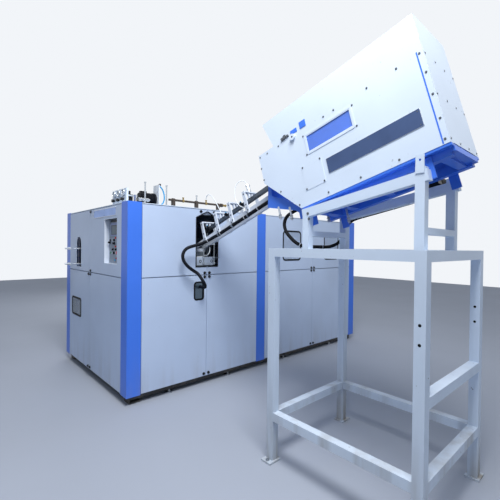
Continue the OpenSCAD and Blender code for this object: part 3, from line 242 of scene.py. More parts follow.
class ShaderGraph(Graph):
    """Builds one material's node tree."""

    def __init__(self, material: bpy.types.Material) -> None:
        """Empties the material's tree and reads its object coordinates.

        Args:
            material: The material.
        """
        material.use_nodes = True
        super().__init__(material.node_tree)
        self.tree.nodes.clear()
        self.position = self.node("ShaderNodeTexCoord").outputs["Object"]
        split = self.node("ShaderNodeSeparateXYZ", {0: self.position})
        self.axes = tuple(Num(self, socket) for socket in split.outputs)

    def noise(self, scale: float, detail: float = 2.0, stretch: Point = (1, 1, 1)) -> Num:
        """Returns a noise from 0 to 1.

        Args:
            scale: Its lumps per metre.
            detail: How many finer layers it has.
            stretch: Multiplies the coordinates along each axis.

        Returns:
            The noise.
        """
        where = self.position
        if stretch != (1, 1, 1):
            where = self.node("ShaderNodeVectorMath", {0: where, 1: stretch}, operation="MULTIPLY")
        sockets = {"Vector": where, "Scale": scale, "Detail": detail}
        return Num(self, self.node("ShaderNodeTexNoise", sockets).outputs[0])

    def cells(self, scale: float) -> Num:
        """Returns a different number in each cell, with that many cells per metre."""
        colour = self.node("ShaderNodeTexVoronoi", {"Vector": self.position, "Scale": scale}).outputs["Color"]
        return Num(self, self.node("ShaderNodeSeparateColor", {0: colour}).outputs[0])

    def mix(self, factor: Num | float, low: Any, high: Any) -> bpy.types.NodeSocket:
        """Returns a colour from low at factor 0 to high at factor 1."""
        return self.node("ShaderNodeMix", {0: factor, 6: low, 7: high}, data_type="RGBA").outputs[2]

    def bump(self, height: Num, distance: float, strength: float) -> bpy.types.NodeSocket:
        """Returns the normal that a height gives, with its full depth in metres."""
        sockets = {"Height": height, "Distance": distance, "Strength": strength}
        return self.node("ShaderNodeBump", sockets).outputs[0]


def linear(code: str, share: float = 1.0) -> tuple[float, float, float, float]:
    """Returns a "#rrggbb" colour as Blender's linear colour.

    Args:
        code: The colour.
        share: What it is multiplied by.

    Returns:
        Red, green, blue and an alpha of 1.
    """
    parts = [int(code[i : i + 2], 16) / 255 for i in (1, 3, 5)]
    red, green, blue = (c / 12.92 if c <= 0.04045 else ((c + 0.055) / 1.055) ** 2.4 for c in parts)
    return (red * share, green * share, blue * share, 1.0)


# Finishes


@dataclass(frozen=True)
class Zone:
    """A box in which a node has another finish, as on a bought unit of several materials.

    Attributes:
        low: Its lowest corner in the row frame, or on its slope as x, along and up.
        high: Its highest corner.
        colour: The colour there.
        roughness: The roughness there.
        metallic: How metallic it is there.
        pivot: Where its slope starts, as y and z in the row frame.
        slope: Its slope in degrees.
    """

    low: Point
    high: Point
    colour: str
    roughness: float = 0.5
    metallic: float = 0.0
    pivot: Pair = (0.0, 0.0)
    slope: float = 0.0

    def mask(self, graph: ShaderGraph) -> Num:
        """Returns 1 inside the box and 0 outside it.

        Args:
            graph: The material's graph.

        Returns:
            The mask.
        """
        x, y, z = graph.axes
        if self.slope:
            cosine, sine = math.cos(math.radians(self.slope)), math.sin(math.radians(self.slope))
            out, rise = self.pivot[0] - y, z - self.pivot[1]
            y, z = out * cosine + rise * sine, rise * cosine - out * sine
        in_x, in_y, in_z = ((n > low) * (n < high) for n, low, high in zip((x, y, z), self.low, self.high))
        return in_x * in_y * in_z


@dataclass
class Surface:
    """What a finish gives the shader at each point."""

    colour: Any
    roughness: Num | float
    metallic: Num | float = 0.0
    normal: bpy.types.NodeSocket | None = None


@dataclass(frozen=True)
class Finish:
    """A surface finish that becomes one material.

    Attributes:
        name: The material's name.
        colour: Its main colour.
        roughness: Its mean roughness.
        zones: Boxes with another finish.
    """

    name: str
    colour: str
    roughness: float = 0.5
    zones: tuple[Zone, ...] = ()

    def surface(self, graph: ShaderGraph) -> Surface:
        """Returns the plain surface; each kind of finish has its own."""
        return Surface(linear(self.colour), self.roughness)

    def constants(self) -> dict[str, float]:
        """Returns the shader's values that are the same all over."""
        return {}

    def material(self) -> bpy.types.Material:
        """Makes the material once and returns it from then on.

        Returns:
            The material.
        """
        found = bpy.data.materials.get(self.name)
        if found:
            return found
        material = bpy.data.materials.new(self.name)
        graph = ShaderGraph(material)
        surface = self.surface(graph)
        for zone in self.zones:
            mask = zone.mask(graph)
            surface.colour = graph.mix(mask, surface.colour, linear(zone.colour))
            surface.roughness = mask * zone.roughness + (1 - mask) * surface.roughness
            surface.metallic = mask * zone.metallic + (1 - mask) * surface.metallic
        values = {"Base Color": surface.colour, "Roughness": surface.roughness, "Metallic": surface.metallic}
        normal = {"Normal": surface.normal} if surface.normal else {}
        shader = graph.node("ShaderNodeBsdfPrincipled", {**values, **self.constants(), **normal})
        graph.node("ShaderNodeOutputMaterial", {0: shader})
        return material


@dataclass(frozen=True)
class PowderCoat(Finish):
    """Sprayed and baked paint: slight mottle, a fine orange peel, dust and scuffs near the floor.

    Attributes:
        dust: How strong the dust is on the lowest part.
        dust_top: Height in metres at which the dust ends.
        scuffs: How strong the small scuffs are.
    """

    dust: float = 0.35
    dust_top: float = 0.7
    scuffs: float = 0.25

    def surface(self, graph: ShaderGraph) -> Surface:
        """Returns the paint's surface.

        Args:
            graph: The material's graph.

        Returns:
            The surface.
        """
        cloud = graph.noise(1.3, 3)
        colour = graph.mix(cloud.ramp(0.35, 0.7), linear(self.colour), linear(self.colour, 0.9))
        streak = graph.noise(9, 3, (1, 1, 0.12)).ramp(0.45, 0.75)
        low = 1 - graph.axes[2].ramp(0.0, self.dust_top)
        dust = (low * low * (0.4 + streak) * self.dust).clamped()
        colour = graph.mix(dust, colour, linear("#8b8479"))
        scuff = graph.noise(38, 4).ramp(0.69, 0.74) * graph.noise(4, 1).ramp(0.45, 0.65) * self.scuffs
        colour = graph.mix(scuff, colour, linear("#6f757d"))
        roughness = (self.roughness + dust * 0.25 + scuff * 0.2 + (cloud - 0.5) * 0.08).clamped()
        return Surface(colour, roughness, 0.0, graph.bump(graph.noise(420, 1), 0.0004, 0.35))

    def constants(self) -> dict[str, float]:
        """Returns the lacquer's gloss."""
        return {"Coat Weight": 0.05, "Coat Roughness": 0.25, "Specular IOR Level": 0.25}


class Grain(Enum):
    """The direction in which a metal was drawn or brushed."""

    ALONG_X = (0.04, 1, 1)
    ALONG_Y = (1, 0.04, 1)
    ALONG_Z = (1, 1, 0.04)
    NONE = (1, 1, 1)


@dataclass(frozen=True)
class BareMetal(Finish):
    """Bare or plated metal with its drawing lines and duller patches.

    Attributes:
        grain: The drawing direction.
        spangle: How strong a zinc coat's flakes are.
    """

    grain: Grain = Grain.NONE
    spangle: float = 0.0

    def surface(self, graph: ShaderGraph) -> Surface:
        """Returns the metal's surface.

        Args:
            graph: The material's graph.

        Returns:
            The surface.
        """
        lines = graph.noise(260, 3, self.grain.value)
        patches = graph.noise(7, 3)
        amount = patches.ramp(0.4, 0.75) * 0.6 + graph.cells(90) * self.spangle
        colour = graph.mix(amount.clamped(), linear(self.colour), linear(self.colour, 0.72))
        roughness = (self.roughness + (lines - 0.5) * 0.3 + (patches - 0.5) * 0.2).clamped()
        return Surface(colour, roughness, 0.92, graph.bump(lines, 0.0002, 0.3))


@dataclass(frozen=True)
class Moulding(Finish):
    """Moulded plastic or rubber with a fine grain and a little dust."""

    def surface(self, graph: ShaderGraph) -> Surface:
        """Returns the moulding's surface.

        Args:
            graph: The material's graph.

        Returns:
            The surface.
        """
        dust = graph.noise(14, 3).ramp(0.5, 0.8) * 0.04
        colour = graph.mix(dust, linear(self.colour), linear("#7f8ba1"))
        roughness = (self.roughness + dust * 0.5).clamped()
        return Surface(colour, roughness, 0.0, graph.bump(graph.noise(900, 1), 0.0003, 0.3))

    def constants(self) -> dict[str, float]:
        """Returns the dull shine of a moulding."""
        return {"Specular IOR Level": 0.15}


@dataclass(frozen=True)
class ClearPane(Finish):
    """Clear sheet plastic or glass, with faint wiping marks.

    Attributes:
        clearness: The share of light that it lets through.
    """

    clearness: float = 0.9

    def surface(self, graph: ShaderGraph) -> Surface:
        """Returns the pane's surface."""
        wiped = graph.noise(6, 4, (1, 1, 2.5)).ramp(0.45, 0.8)
        return Surface(linear(self.colour), 0.04 + wiped * 0.14)

    def constants(self) -> dict[str, float]:
        """Returns the glass values."""
        return {"Transmission Weight": self.clearness, "IOR": 1.2}


@dataclass(frozen=True)
class DisplayGlass(Finish):
    """A switched-off display behind glass: an even field with a slightly lighter middle."""

    def surface(self, graph: ShaderGraph) -> Surface:
        """Returns the display's surface."""
        cloud = graph.noise(5, 2).ramp(0.3, 0.75)
        return Surface(graph.mix(cloud, linear(self.colour, 0.55), linear(self.colour)), self.roughness)

    def constants(self) -> dict[str, float]:
        """Returns the cover glass's gloss."""
        return {"Coat Weight": 0.15, "Coat Roughness": 0.08, "Specular IOR Level": 0.2}


@dataclass(frozen=True)
class FloorPaint(Finish):
    """A plain pale workshop floor."""

    def surface(self, graph: ShaderGraph) -> Surface:
        """Returns the floor's surface."""
        cloud = graph.noise(0.8, 4).ramp(0.3, 0.8)
        return Surface(graph.mix(cloud, linear(self.colour), linear(self.colour, 0.93)), self.roughness)


BLUE_COAT = PowderCoat("blue_powder_coat", "#457ce9", 0.36)
DOOR_COAT = PowderCoat("door_powder_coat", "#bfd0ea", 0.42)
WHITE_COAT = PowderCoat("white_enamel", "#dbe9fa", 0.4, dust=0.5, scuffs=0.5)
STAND_COAT = PowderCoat("stand_enamel", "#d6e5f7", 0.42, dust=0.8, dust_top=1.1, scuffs=0.9)
DARK_COAT = PowderCoat("dark_base_paint", "#24272b", 0.55, scuffs=0.1)
BED_COAT = PowderCoat("machine_grey_paint", "#7d8790", 0.45)
BLACK_COAT = PowderCoat("black_enamel", "#15171a", 0.35, dust=0.1, scuffs=0.2)
PANEL_GREY = PowderCoat("panel_grey", "#94a0b0", 0.45, dust=0.0)
SILL_METAL = PowderCoat("sill_enamel", "#b4c1d2", 0.45, dust=0.0, scuffs=0.8)
HEADER_PAINT = PowderCoat("header_pipe_paint", "#4a423c", 0.5, dust=0.0)
ZINC = BareMetal("zinc_plate", "#a9b0b8", 0.36, spangle=0.25)
ALUMINIUM = BareMetal("drawn_aluminium", "#cfd6de", 0.34, grain=Grain.ALONG_Y)
ROLLER_STEEL = BareMetal("ground_roller_steel", "#b9c0c8", 0.22, grain=Grain.ALONG_X)
SCREW_STEEL = BareMetal("screw_steel", "#6d737b", 0.35)
CHROME = BareMetal("chrome_bezel", "#d8dde3", 0.14)
PLATE_GREY = BareMetal("bare_plate", "#5f7391", 0.45, grain=Grain.ALONG_Y)
RIM_STEEL = BareMetal("rim_steel", "#c4ccd6", 0.3)
BRASS = BareMetal("brass_fittings", "#a8905c", 0.32)
RODS = BareMetal("guide_rods", "#aab3bd", 0.25, grain=Grain.ALONG_Z)
BARE_PLATE = BareMetal("side_plate_metal", "#4f628a", 0.42, grain=Grain.ALONG_Y)
NAMEPLATE = BareMetal("nameplate_metal", "#8aa4d6", 0.42, grain=Grain.ALONG_Y)
PORT_METAL = BareMetal("port_plate_metal", "#71828f", 0.3)
RUBBER = Moulding("edge_trim_rubber", "#0c0e12", 0.62)
PLASTIC = Moulding("black_moulding", "#080c16", 0.36)
TIE_PLASTIC = Moulding("tie_nylon", "#d9dee4", 0.45)
TUBE_WHITE = Moulding("tube_white", "#dfe5ea", 0.3)
TUBE_BLUE = Moulding("tube_blue", "#2f9ad0", 0.28)
RED_PLASTIC = Moulding("red_mushroom", "#c3202a", 0.3)
GREEN_PLASTIC = Moulding("green_button", "#1d7f4a", 0.35)
DIAL_FACE = Moulding("dial_face", "#eef1f3", 0.5)
SCREEN_FRAME = Moulding("screen_frame", "#93a2c8", 0.4)
SCREEN_GLASS = DisplayGlass("screen_glass", "#35596f", 0.3)
PANE = ClearPane("clear_pane", "#e4eef8", 0.05)
LAMP_GLASS = ClearPane("lamp_quartz", "#ffe3b8", 0.1)
BLUE_PANE = ClearPane("blue_pane", "#7ba4ff", 0.05, clearness=0.45)
WINDOW_PANE = ClearPane("window_pane", "#c9daf3", 0.05, clearness=0.45)
FLOOR = FloorPaint("pale_floor", "#a7aebb", 0.75)

SLOT_FINISH: dict[str, Finish] = {
    "blue_paint": BLUE_COAT, "door_paint": DOOR_COAT, "white_paint": WHITE_COAT, "dark_paint": DARK_COAT,
    "bed_paint": BED_COAT, "zinc_steel": ZINC, "aluminium": ALUMINIUM, "black_rubber": RUBBER,
    "black_plastic": PLASTIC, "clear_pane": PANE, "lamp_glass": LAMP_GLASS, "red_plastic": RED_PLASTIC,
    "green_plastic": GREEN_PLASTIC, "plate_grey": PLATE_GREY, "black_paint": BLACK_COAT,
}  # fmt: skip


# Meshes


def link_object(name: str, data: bpy.types.ID | None) -> bpy.types.Object:
    """Makes an object and links it to the scene.

    Args:
        name: Its name.
        data: Its mesh, lamp or camera.

    Returns:
        The object.
    """
    made = bpy.data.objects.new(name, data)
    bpy.context.scene.collection.objects.link(made)
    return made


def frame_matrix(origin: Vector, along: Vector, up: Vector = UP) -> Matrix:
    """Returns the matrix whose z axis is along and whose y axis leans towards up.

    Args:
        origin: Its origin.
        along: The direction of its z axis.
        up: What its y axis leans towards.

    Returns:
        The matrix.
    """
    z = along.normalized()
    x = up.cross(z).normalized()
    return Matrix.Translation(origin) @ Matrix((x, z.cross(x), z)).transposed().to_4x4()


def inside(spot: Matrix) -> Place:
    """Returns the function that places millimetres in a matrix's frame."""
    return lambda u, v, w: spot @ (Vector((u, v, w)) * MM)


def catmull_rom(points: Sequence[Vector], steps: int) -> list[Vector]:
    """Returns a smooth line through the points.

    Args:
        points: The points it passes.
        steps: How many stretches it has between two points.

    Returns:
        The line's points.
    """
    line = []
    last = len(points) - 1
    for i in range(last):
        a, b, c, d = points[max(i - 1, 0)], points[i], points[i + 1], points[min(i + 2, last)]
        bend, twist = 2 * a - 5 * b + 4 * c - d, 3 * b - a - 3 * c + d
        for t in (k / steps for k in range(steps)):
            line.append(0.5 * (2 * b + (c - a) * t + bend * t**2 + twist * t**3))
    return [*line, points[last].copy()]


def line_length(points: Sequence[Vector]) -> float:
    """Returns the length of a line of points."""
    return sum((b - a).length for a, b in zip(points, points[1:]))


def span(low: float, high: float, count: int) -> list[float]:
    """Returns evenly spaced numbers from low to high."""
    return [low + (high - low) * i / (count - 1) for i in range(count)]


def inset_grid(low: Pair, high: Pair, u: float, v: float, columns: int) -> list[Pair]:
    """Returns two rows of places inside a rectangle.

    Args:
        low: The rectangle's lowest corner.
        high: Its highest corner.
        u: Distance of the outer columns from its sides.
        v: Distance of the rows from its lower and upper edge.
        columns: How many columns there are.

    Returns:
        The places, column by column.
    """
    return [(a, b) for a in span(low[0] + u, high[0] - u, columns) for b in (low[1] + v, high[1] - v)]


class Solid:
    """A mesh that grows by turned shapes, boxes, rims and pipes, all in millimetres."""

    def __init__(self, place: Place) -> None:
        """Starts empty; place turns its coordinates into the row frame."""
        self.mesh, self.place = bmesh.new(), place

    def spot(self, point: Point, along: Vector, up: Vector = UP) -> Matrix:
        """Returns the frame at a point whose z axis is along."""
        return frame_matrix(self.place(*point), along, up)

    def skin(self, loops: Sequence[Sequence[Vector]], wrap: bool = False) -> list[list[bmesh.types.BMVert]]:
        """Joins loops of points by faces; a loop of one point is a tip.

        Args:
            loops: The loops.
            wrap: Whether the last loop joins the first.

        Returns:
            The vertices of each loop.
        """
        rings = [[self.mesh.verts.new(point) for point in loop] for loop in loops]
        for a, b in zip(rings, rings[1:] + rings[:1] if wrap else rings[1:]):
            for k in range(max(len(a), len(b))):
                n = k + 1
                corners = dict.fromkeys((a[k % len(a)], a[n % len(a)], b[n % len(b)], b[k % len(b)]))
                if len(corners) > 2:
                    self.mesh.faces.new(list(corners))
        return rings

    def lathe(self, shape: Sequence[Pair], spot: Matrix, sides: int = 24, capped: bool = True) -> None:
        """Adds a turned shape.

        Args:
            shape: Its radius and height pairs.
            spot: Its frame; the axis is the matrix's z.
            sides: How many sides it has.
            capped: Whether flat ends close it to the axis.
        """
        ends = ((0, shape[0][1]), (0, shape[-1][1]))
        turns = [2 * math.pi * k / sides for k in range(sides)]
        loops = []
        for radius, height in ((ends[0], *shape, ends[1]) if capped else shape):
            r, h = radius * MM, height * MM
            ring = [(r * math.cos(t), r * math.sin(t), h) for t in (turns if r else (0,))]
            loops.append([spot @ Vector(point) for point in ring])
        self.skin(loops)

    def box(self, low: Point, high: Point, bevel: float = 0.0, place: Place | None = None) -> None:
        """Adds a box.

        Args:
            low: Its lowest corner.
            high: Its highest corner.
            bevel: Width of its bevelled edges.
            place: What places its corners, where it isn't the solid's own.
        """
        place = place or self.place
        corners = [
            self.mesh.verts.new(place(*((low, high)[(i >> a) & 1][a] for a in range(3)))) for i in range(8)
        ]
        quads = ((0, 2, 3, 1), (4, 5, 7, 6), (0, 1, 5, 4), (2, 6, 7, 3), (0, 4, 6, 2), (1, 3, 7, 5))
        faces = [self.mesh.faces.new([corners[i] for i in quad]) for quad in quads]
        if bevel:
            edges = list({edge for face in faces for edge in face.edges})
            bmesh.ops.bevel(self.mesh, geom=edges, offset=bevel * MM, segments=2, profile=0.7, affect="EDGES")

    def rim(self, low: Pair, high: Pair, radius: float, profile: Sequence[Pair], steps: int = 6) -> None:
        """Adds a closed rim of one cross-section round a rounded rectangle.

        Args:
            low: The rectangle's lowest corner.
            high: Its highest corner.
            radius: Its corners' radius.
            profile: The cross-section's points: how far out of the rectangle, and how far off the sheet.
            steps: How many stretches a corner has.
        """
        (u0, v0), (u1, v1) = ([value + radius for value in low], [value - radius for value in high])
        loops = []
        for grow, off in profile:
            reach = max(radius + grow, 0.5)
            loops.append([
                self.place(u + reach * math.cos(angle), v + reach * math.sin(angle), off)
                for quarter, (u, v) in enumerate(((u1, v1), (u0, v1), (u0, v0), (u1, v0)))
                for angle in (math.pi / 2 * (quarter + k / steps) for k in range(steps + 1))
            ])  # fmt: skip
        self.skin(loops, wrap=True)

    def pipe(self, start: Vector, end: Vector, radius: float, sides: int = 12) -> None:
        """Adds a straight round bar.

        Args:
            start: The middle of its one end.
            end: The middle of its other end.
            radius: Its radius.
            sides: How many sides it has.
        """
        ahead = (end - start).normalized()
        side = (end - start).orthogonal().normalized()
        side = (side - side.dot(ahead) * ahead).normalized()
        other = ahead.cross(side)
        turns = [2 * math.pi * k / sides for k in range(sides)]
        first, last = self.skin([
            [point + (side * math.cos(t) + other * math.sin(t)) * radius * MM for t in turns]
            for point in (start, end)
        ])  # fmt: skip
        self.mesh.faces.new(first[::-1])
        self.mesh.faces.new(last)

    def made(self, name: str, smooth: bool = False) -> bpy.types.Object:
        """Turns the mesh into an object at the origin.

        Args:
            name: The object's name.
            smooth: Whether its faces shade smoothly.

        Returns:
            The object.
        """
        bmesh.ops.recalc_face_normals(self.mesh, faces=self.mesh.faces)
        data = bpy.data.meshes.new(name)
        self.mesh.to_mesh(data)
        self.mesh.free()
        if smooth:
            data.shade_smooth()
        return link_object(name, data)


# Geometry trees


class GeometryGraph(Graph):
    """Builds a geometry tree with named inputs and applies it to an object."""

    def __init__(self, name: str, floats: Sequence[str], integers: Sequence[str] = ()) -> None:
        """Makes the tree with its inputs and its output.

        Args:
            name: The tree's name.
            floats: Its number inputs.
            integers: Its whole number inputs.
        """
        super().__init__(bpy.data.node_groups.new(name, "GeometryNodeTree"))
        self.identifiers: dict[str, str] = {}
        kinds = {"Geometry": "Geometry", **dict.fromkeys(floats, "Float"), **dict.fromkeys(integers, "Int")}
        for label, kind in {**kinds, "Material": "Material"}.items():
            socket = self.tree.interface.new_socket(label, in_out="INPUT", socket_type=f"NodeSocket{kind}")
            self.identifiers[label] = socket.identifier
        self.tree.interface.new_socket("Geometry", in_out="OUTPUT", socket_type="NodeSocketGeometry")
        entry = self.node("NodeGroupInput")
        self.value = {label: Num(self, entry.outputs[label]) for label in self.identifiers}

    def join(self, *parts: bpy.types.Node) -> bpy.types.Node:
        """Joins parts.

        Args:
            *parts: The nodes whose geometry is joined.

        Returns:
            The node that joins them.
        """
        both = self.node("GeometryNodeJoinGeometry")
        for part in parts:
            self.tree.links.new(part.outputs[0], both.inputs[0])
        return both

    def close(self, geometry: bpy.types.Node) -> None:
        """Ends the tree: instances are made real and get the material input.

        Args:
            geometry: The node whose geometry the tree gives out.
        """
        real = self.node("GeometryNodeRealizeInstances", {0: geometry})
        dressed = self.node("GeometryNodeSetMaterial", {"Geometry": real, "Material": self.value["Material"]})
        self.node("NodeGroupOutput", {0: dressed})

    def apply(
        self, name: str, points: Sequence[Vector], values: Mapping[str, Any], facings: Sequence[Vector] = ()
    ) -> bpy.types.Object:
        """Runs the tree on points and keeps the result as a plain mesh.

        Args:
            name: The new object's name.
            points: The points, which are joined to a line where they have no facings.
            values: The inputs' values by name; the material's is a finish.
            facings: The direction in which each point faces.

        Returns:
            The new object.
        """
        data = bpy.data.meshes.new(f"{name}_points")
        data.from_pydata(points, [] if facings else [(i, i + 1) for i in range(len(points) - 1)], [])
        if facings:
            attribute = data.attributes.new("facing", "FLOAT_VECTOR", "POINT")
            for item, facing in zip(attribute.data, facings):
                item.vector = facing
        source = link_object(data.name, data)
        modifier = source.modifiers.new("tree", "NODES")
        modifier.node_group = self.tree
        for key, value in values.items():
            modifier[self.identifiers[key]] = value.material() if isinstance(value, Finish) else value
        bpy.context.view_layer.update()
        result = bpy.data.meshes.new_from_object(source.evaluated_get(bpy.context.evaluated_depsgraph_get()))
        bpy.data.objects.remove(source)
        result.name = name
        return link_object(name, result)


class HeadStyle(Enum):
    """How many sides a fastener's head has, and how far it narrows to its top."""

    PAN = (14, 0.72)
    HEX = (6, 0.94)


Seat = tuple[Vector, Vector]


class FastenerSetter(GeometryGraph):
    """Places a fastener head with its washer at each seat, a point and the direction in which it faces."""

    def __init__(self) -> None:
        """Builds the tree."""
        super().__init__("fastener_heads", ("Head Radius", "Head Height", "Top Share"), ("Sides", "Seed"))
        points, radius, height, share, sides, seed, _ = self.value.values()
        cone = {"Vertices": sides, "Radius Top": radius * share, "Radius Bottom": radius, "Depth": height}
        wide, thin = radius * 1.35, height * 0.3
        disc = {"Vertices": 16, "Radius Top": wide, "Radius Bottom": wide, "Depth": thin}
        head = self.node("GeometryNodeMeshCone", cone)
        washer = self.node("GeometryNodeMeshCone", disc)
        facing = self.node("GeometryNodeInputNamedAttribute", {"Name": "facing"}, data_type="FLOAT_VECTOR")
        turn = self.node("FunctionNodeAlignRotationToVector", {"Vector": facing}, axis="Z")
        angle = self.node("FunctionNodeRandomValue", {2: 0.0, 3: math.tau, "Seed": seed}, data_type="FLOAT")
        spin = self.node("FunctionNodeAxisAngleToRotation", {"Axis": (0, 0, 1), "Angle": angle.outputs[1]})
        spun = self.node("FunctionNodeRotateRotation", {0: turn, 1: spin}, rotation_space="LOCAL")
        sockets = {"Points": points, "Instance": self.join(washer, head), "Rotation": spun}
        self.close(self.node("GeometryNodeInstanceOnPoints", sockets))

    def set_heads(
        self, name: str, seats: Sequence[Seat], radius: float, finish: Finish, style: HeadStyle
    ) -> bpy.types.Object:
        """Makes one object with a fastener at each seat.

        Args:
            name: The object's name.
            seats: Where the fasteners sit.
            radius: The heads' radius in millimetres.
            finish: Their finish.
            style: The heads' style.

        Returns:
            The object.
        """
        sides, share = style.value
        sizes = {"Head Radius": radius * MM, "Head Height": radius * MM * 0.6, "Top Share": share}
        points, facings = zip(*seats)
        return self.apply(name, points, {**sizes, "Sides": sides, "Seed": 7, "Material": finish}, facings)


class RibbedTube(GeometryGraph):
    """A round or corrugated tube along a line of points."""

    def __init__(self) -> None:
        """Builds the tree: the line is resampled, and its radius rises and falls along it."""
        super().__init__("ribbed_tube", ("Radius", "Groove Share", "Pitch"))
        points, radius, groove, pitch, _ = self.value.values()
        curve = self.node("GeometryNodeMeshToCurve", {0: points})
        fine = self.node("GeometryNodeResampleCurve", {"Curve": curve, "Length": pitch * 0.25}, mode="LENGTH")
        along = Num(self, self.node("GeometryNodeSplineParameter").outputs["Length"])
        wave = along.math("COSINE", along / pitch * math.tau)
        scale = (1.0 - groove * wave) * radius
        ring = self.node("GeometryNodeCurvePrimitiveCircle", {"Resolution": 14, "Radius": 1.0})
        sockets = {"Curve": fine, "Profile Curve": ring, "Fill Caps": True, "Scale": scale}
        self.close(self.node("GeometryNodeCurveToMesh", sockets))

    def sweep(
        self, name: str, line: Sequence[Vector], radius: float, groove: float, pitch: float, finish: Finish
    ) -> bpy.types.Object:
        """Makes the tube.

        Args:
            name: The object's name.
            line: The points it follows.
            radius: Its mean radius in millimetres.
            groove: How far the radius swings, as a share.
            pitch: Distance between two ribs in millimetres.
            finish: Its finish.

        Returns:
            The object.
        """
        values = {"Radius": radius * MM, "Groove Share": groove, "Pitch": pitch * MM, "Material": finish}
        made = self.apply(name, line, values)
        made.data.shade_smooth()
        return made


class TieSetter(GeometryGraph):
    """Nylon ties round a cord at even steps."""

    def __init__(self) -> None:
        """Builds the tree: a flat ring with its lock is placed square to the line."""
        super().__init__("cord_ties", ("Inner Radius", "Spacing", "Tie Width"))
        line, inner, spacing, width, _ = self.value.values()
        curve = self.node("GeometryNodeMeshToCurve", {0: line})
        points = self.node("GeometryNodeCurveToPoints", {"Curve": curve, "Length": spacing}, mode="LENGTH")
        ring = self.node("GeometryNodeCurvePrimitiveCircle", {"Resolution": 20, "Radius": inner})
        strip = self.node("GeometryNodeCurvePrimitiveQuadrilateral", {"Width": width * 0.4, "Height": width})
        band = self.node("GeometryNodeCurveToMesh", {"Curve": ring, "Profile Curve": strip})
        size = self.node("ShaderNodeCombineXYZ", {0: width, 1: width, 2: width})
        lock = self.node("GeometryNodeMeshCube", {"Size": size})
        side = self.node("ShaderNodeCombineXYZ", {0: inner})
        moved = self.node("GeometryNodeTransform", {"Geometry": lock, "Translation": side})
        square = points.outputs["Rotation"]
        sockets = {"Points": points, "Instance": self.join(band, moved), "Rotation": square}
        self.close(self.node("GeometryNodeInstanceOnPoints", sockets))

    def bind(
        self, name: str, line: Sequence[Vector], radius: float, spacing: float, width: float = 5.0
    ) -> bpy.types.Object:
        """Makes the ties.

        Args:
            name: The object's name.
            line: The points of the cord.
            radius: The cord's radius in millimetres.
            spacing: Distance between ties in millimetres.
            width: A tie's width in millimetres.

        Returns:
            The object.
        """
        sizes = {"Inner Radius": radius + width * 0.2, "Spacing": spacing, "Tie Width": width}
        values = {label: size * MM for label, size in sizes.items()}
        return self.apply(name, line, {**values, "Material": TIE_PLASTIC})


# The workshop that finishes each piece


@dataclass(frozen=True)
class Ties:
    """The ties on a cord.

    Attributes:
        name: Their name.
        first: Where on the cord's line they begin.
        last: Where they end.
        spacing: Distance between ties.
    """

    name: str
    first: int
    last: int
    spacing: float


@dataclass(frozen=True)
class Cord:
    """A round or corrugated cord.

    Attributes:
        name: Its sheath's name.
        radius: Its radius over its ribs.
        finish: Its finish.
        slot: The record's material slot it is nearest to.
        steps: How many stretches it has between two points of its route.
        groove: How far its radius swings, as a share.
        pitch: Distance between its ribs.
        node: The frame's node that it stands for.
        ties: Its ties.
    """

    name: str
    radius: float
    finish: Finish = TUBE_WHITE
    slot: str = "white_paint"
    steps: int = 6
    groove: float = 0.0
    pitch: float = 16
    node: str = ""
    ties: Ties | None = None


@dataclass
class Workshop:
    """What every sub-assembly needs to make its pieces.

    Attributes:
        draw: The drawing coordinates.
        nodes: The frame's nodes by name.
        fasteners: Sets fastener heads.
        ribbed: Makes tubes.
        ties: Sets cord ties.
    """

    draw: Drawing
    nodes: Mapping[str, bpy.types.Object]
    fasteners: FastenerSetter = field(default_factory=FastenerSetter)
    ribbed: RibbedTube = field(default_factory=RibbedTube)
    ties: TieSetter = field(default_factory=TieSetter)

    def finish(
        self, piece: bpy.types.Object, slot: str, finish: Finish | None = None, body: str = "cabinet"
    ) -> bpy.types.Object:
        """Gives a piece its finish and sets it on its body.

        Args:
            piece: The piece, in its place.
            slot: The record's material slot it is nearest to; not used.
            finish: Its finish, unless a tree has set it.
            body: The body it rides on.

        Returns:
            The piece.
        """
        if finish:
            piece.data.materials.append(finish.material())
        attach(piece, body)
        LOG.info("made %s on %s", piece.name, body)
        return piece

    def screws(
        self,
        name: str,
        seats: Sequence[Seat],
        radius: float,
        finish: Finish = SCREW_STEEL,
        style: HeadStyle = HeadStyle.PAN,
        body: str = "cabinet",
    ) -> None:
        """Sets a fastener at each seat.

        Args:
            name: The piece's name.
            seats: Where the fasteners sit.
            radius: The heads' radius in millimetres.
            finish: Their finish.
            style: The heads' style.
            body: The body they ride on.
        """
        self.finish(self.fasteners.set_heads(name, seats, radius, finish, style), "zinc_steel", body=body)

    def lay(self, cord: Cord, points: Sequence[Vector]) -> None:
        """Args:
            cord: The cord.
            points: Its route in the row frame.
        """
        line = catmull_rom(points, cord.steps)
        mean = cord.radius * (1 - cord.groove)
        tube = self.ribbed.sweep(cord.name, line, mean, cord.groove, cord.pitch, cord.finish)
        bound = []
        if cord.ties:
            stretch = line[cord.ties.first : cord.ties.last]
            bound.append(self.ties.bind(cord.ties.name, stretch, cord.radius, cord.ties.spacing))
        self.finish(tube, cord.slot)
        for ties in bound:
            self.finish(ties, "white_paint")
        if cord.node:
            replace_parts(tube, cord.node)
        length = line_length(line)
        LOG.info("%s is %.3f m long", cord.name, length)
        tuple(line[0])

    def repaint(self, finish: Finish, *nodes: str) -> None:
        """Gives frame nodes a finish in every material slot.

        Args:
            finish: The finish.
            *nodes: The nodes' names.
        """
        for node in nodes:
            slots = self.nodes[node].data.materials
            if not slots:
                slots.append(finish.material())
            for i in range(len(slots)):
                slots[i] = finish.material()


# Studio


@dataclass(frozen=True)
class Lamp:
    """A soft square lamp: its name, its place and the point it faces in metres, its side and its watts."""

    name: str
    place: Point
    target: Point
    size: float
    power: float


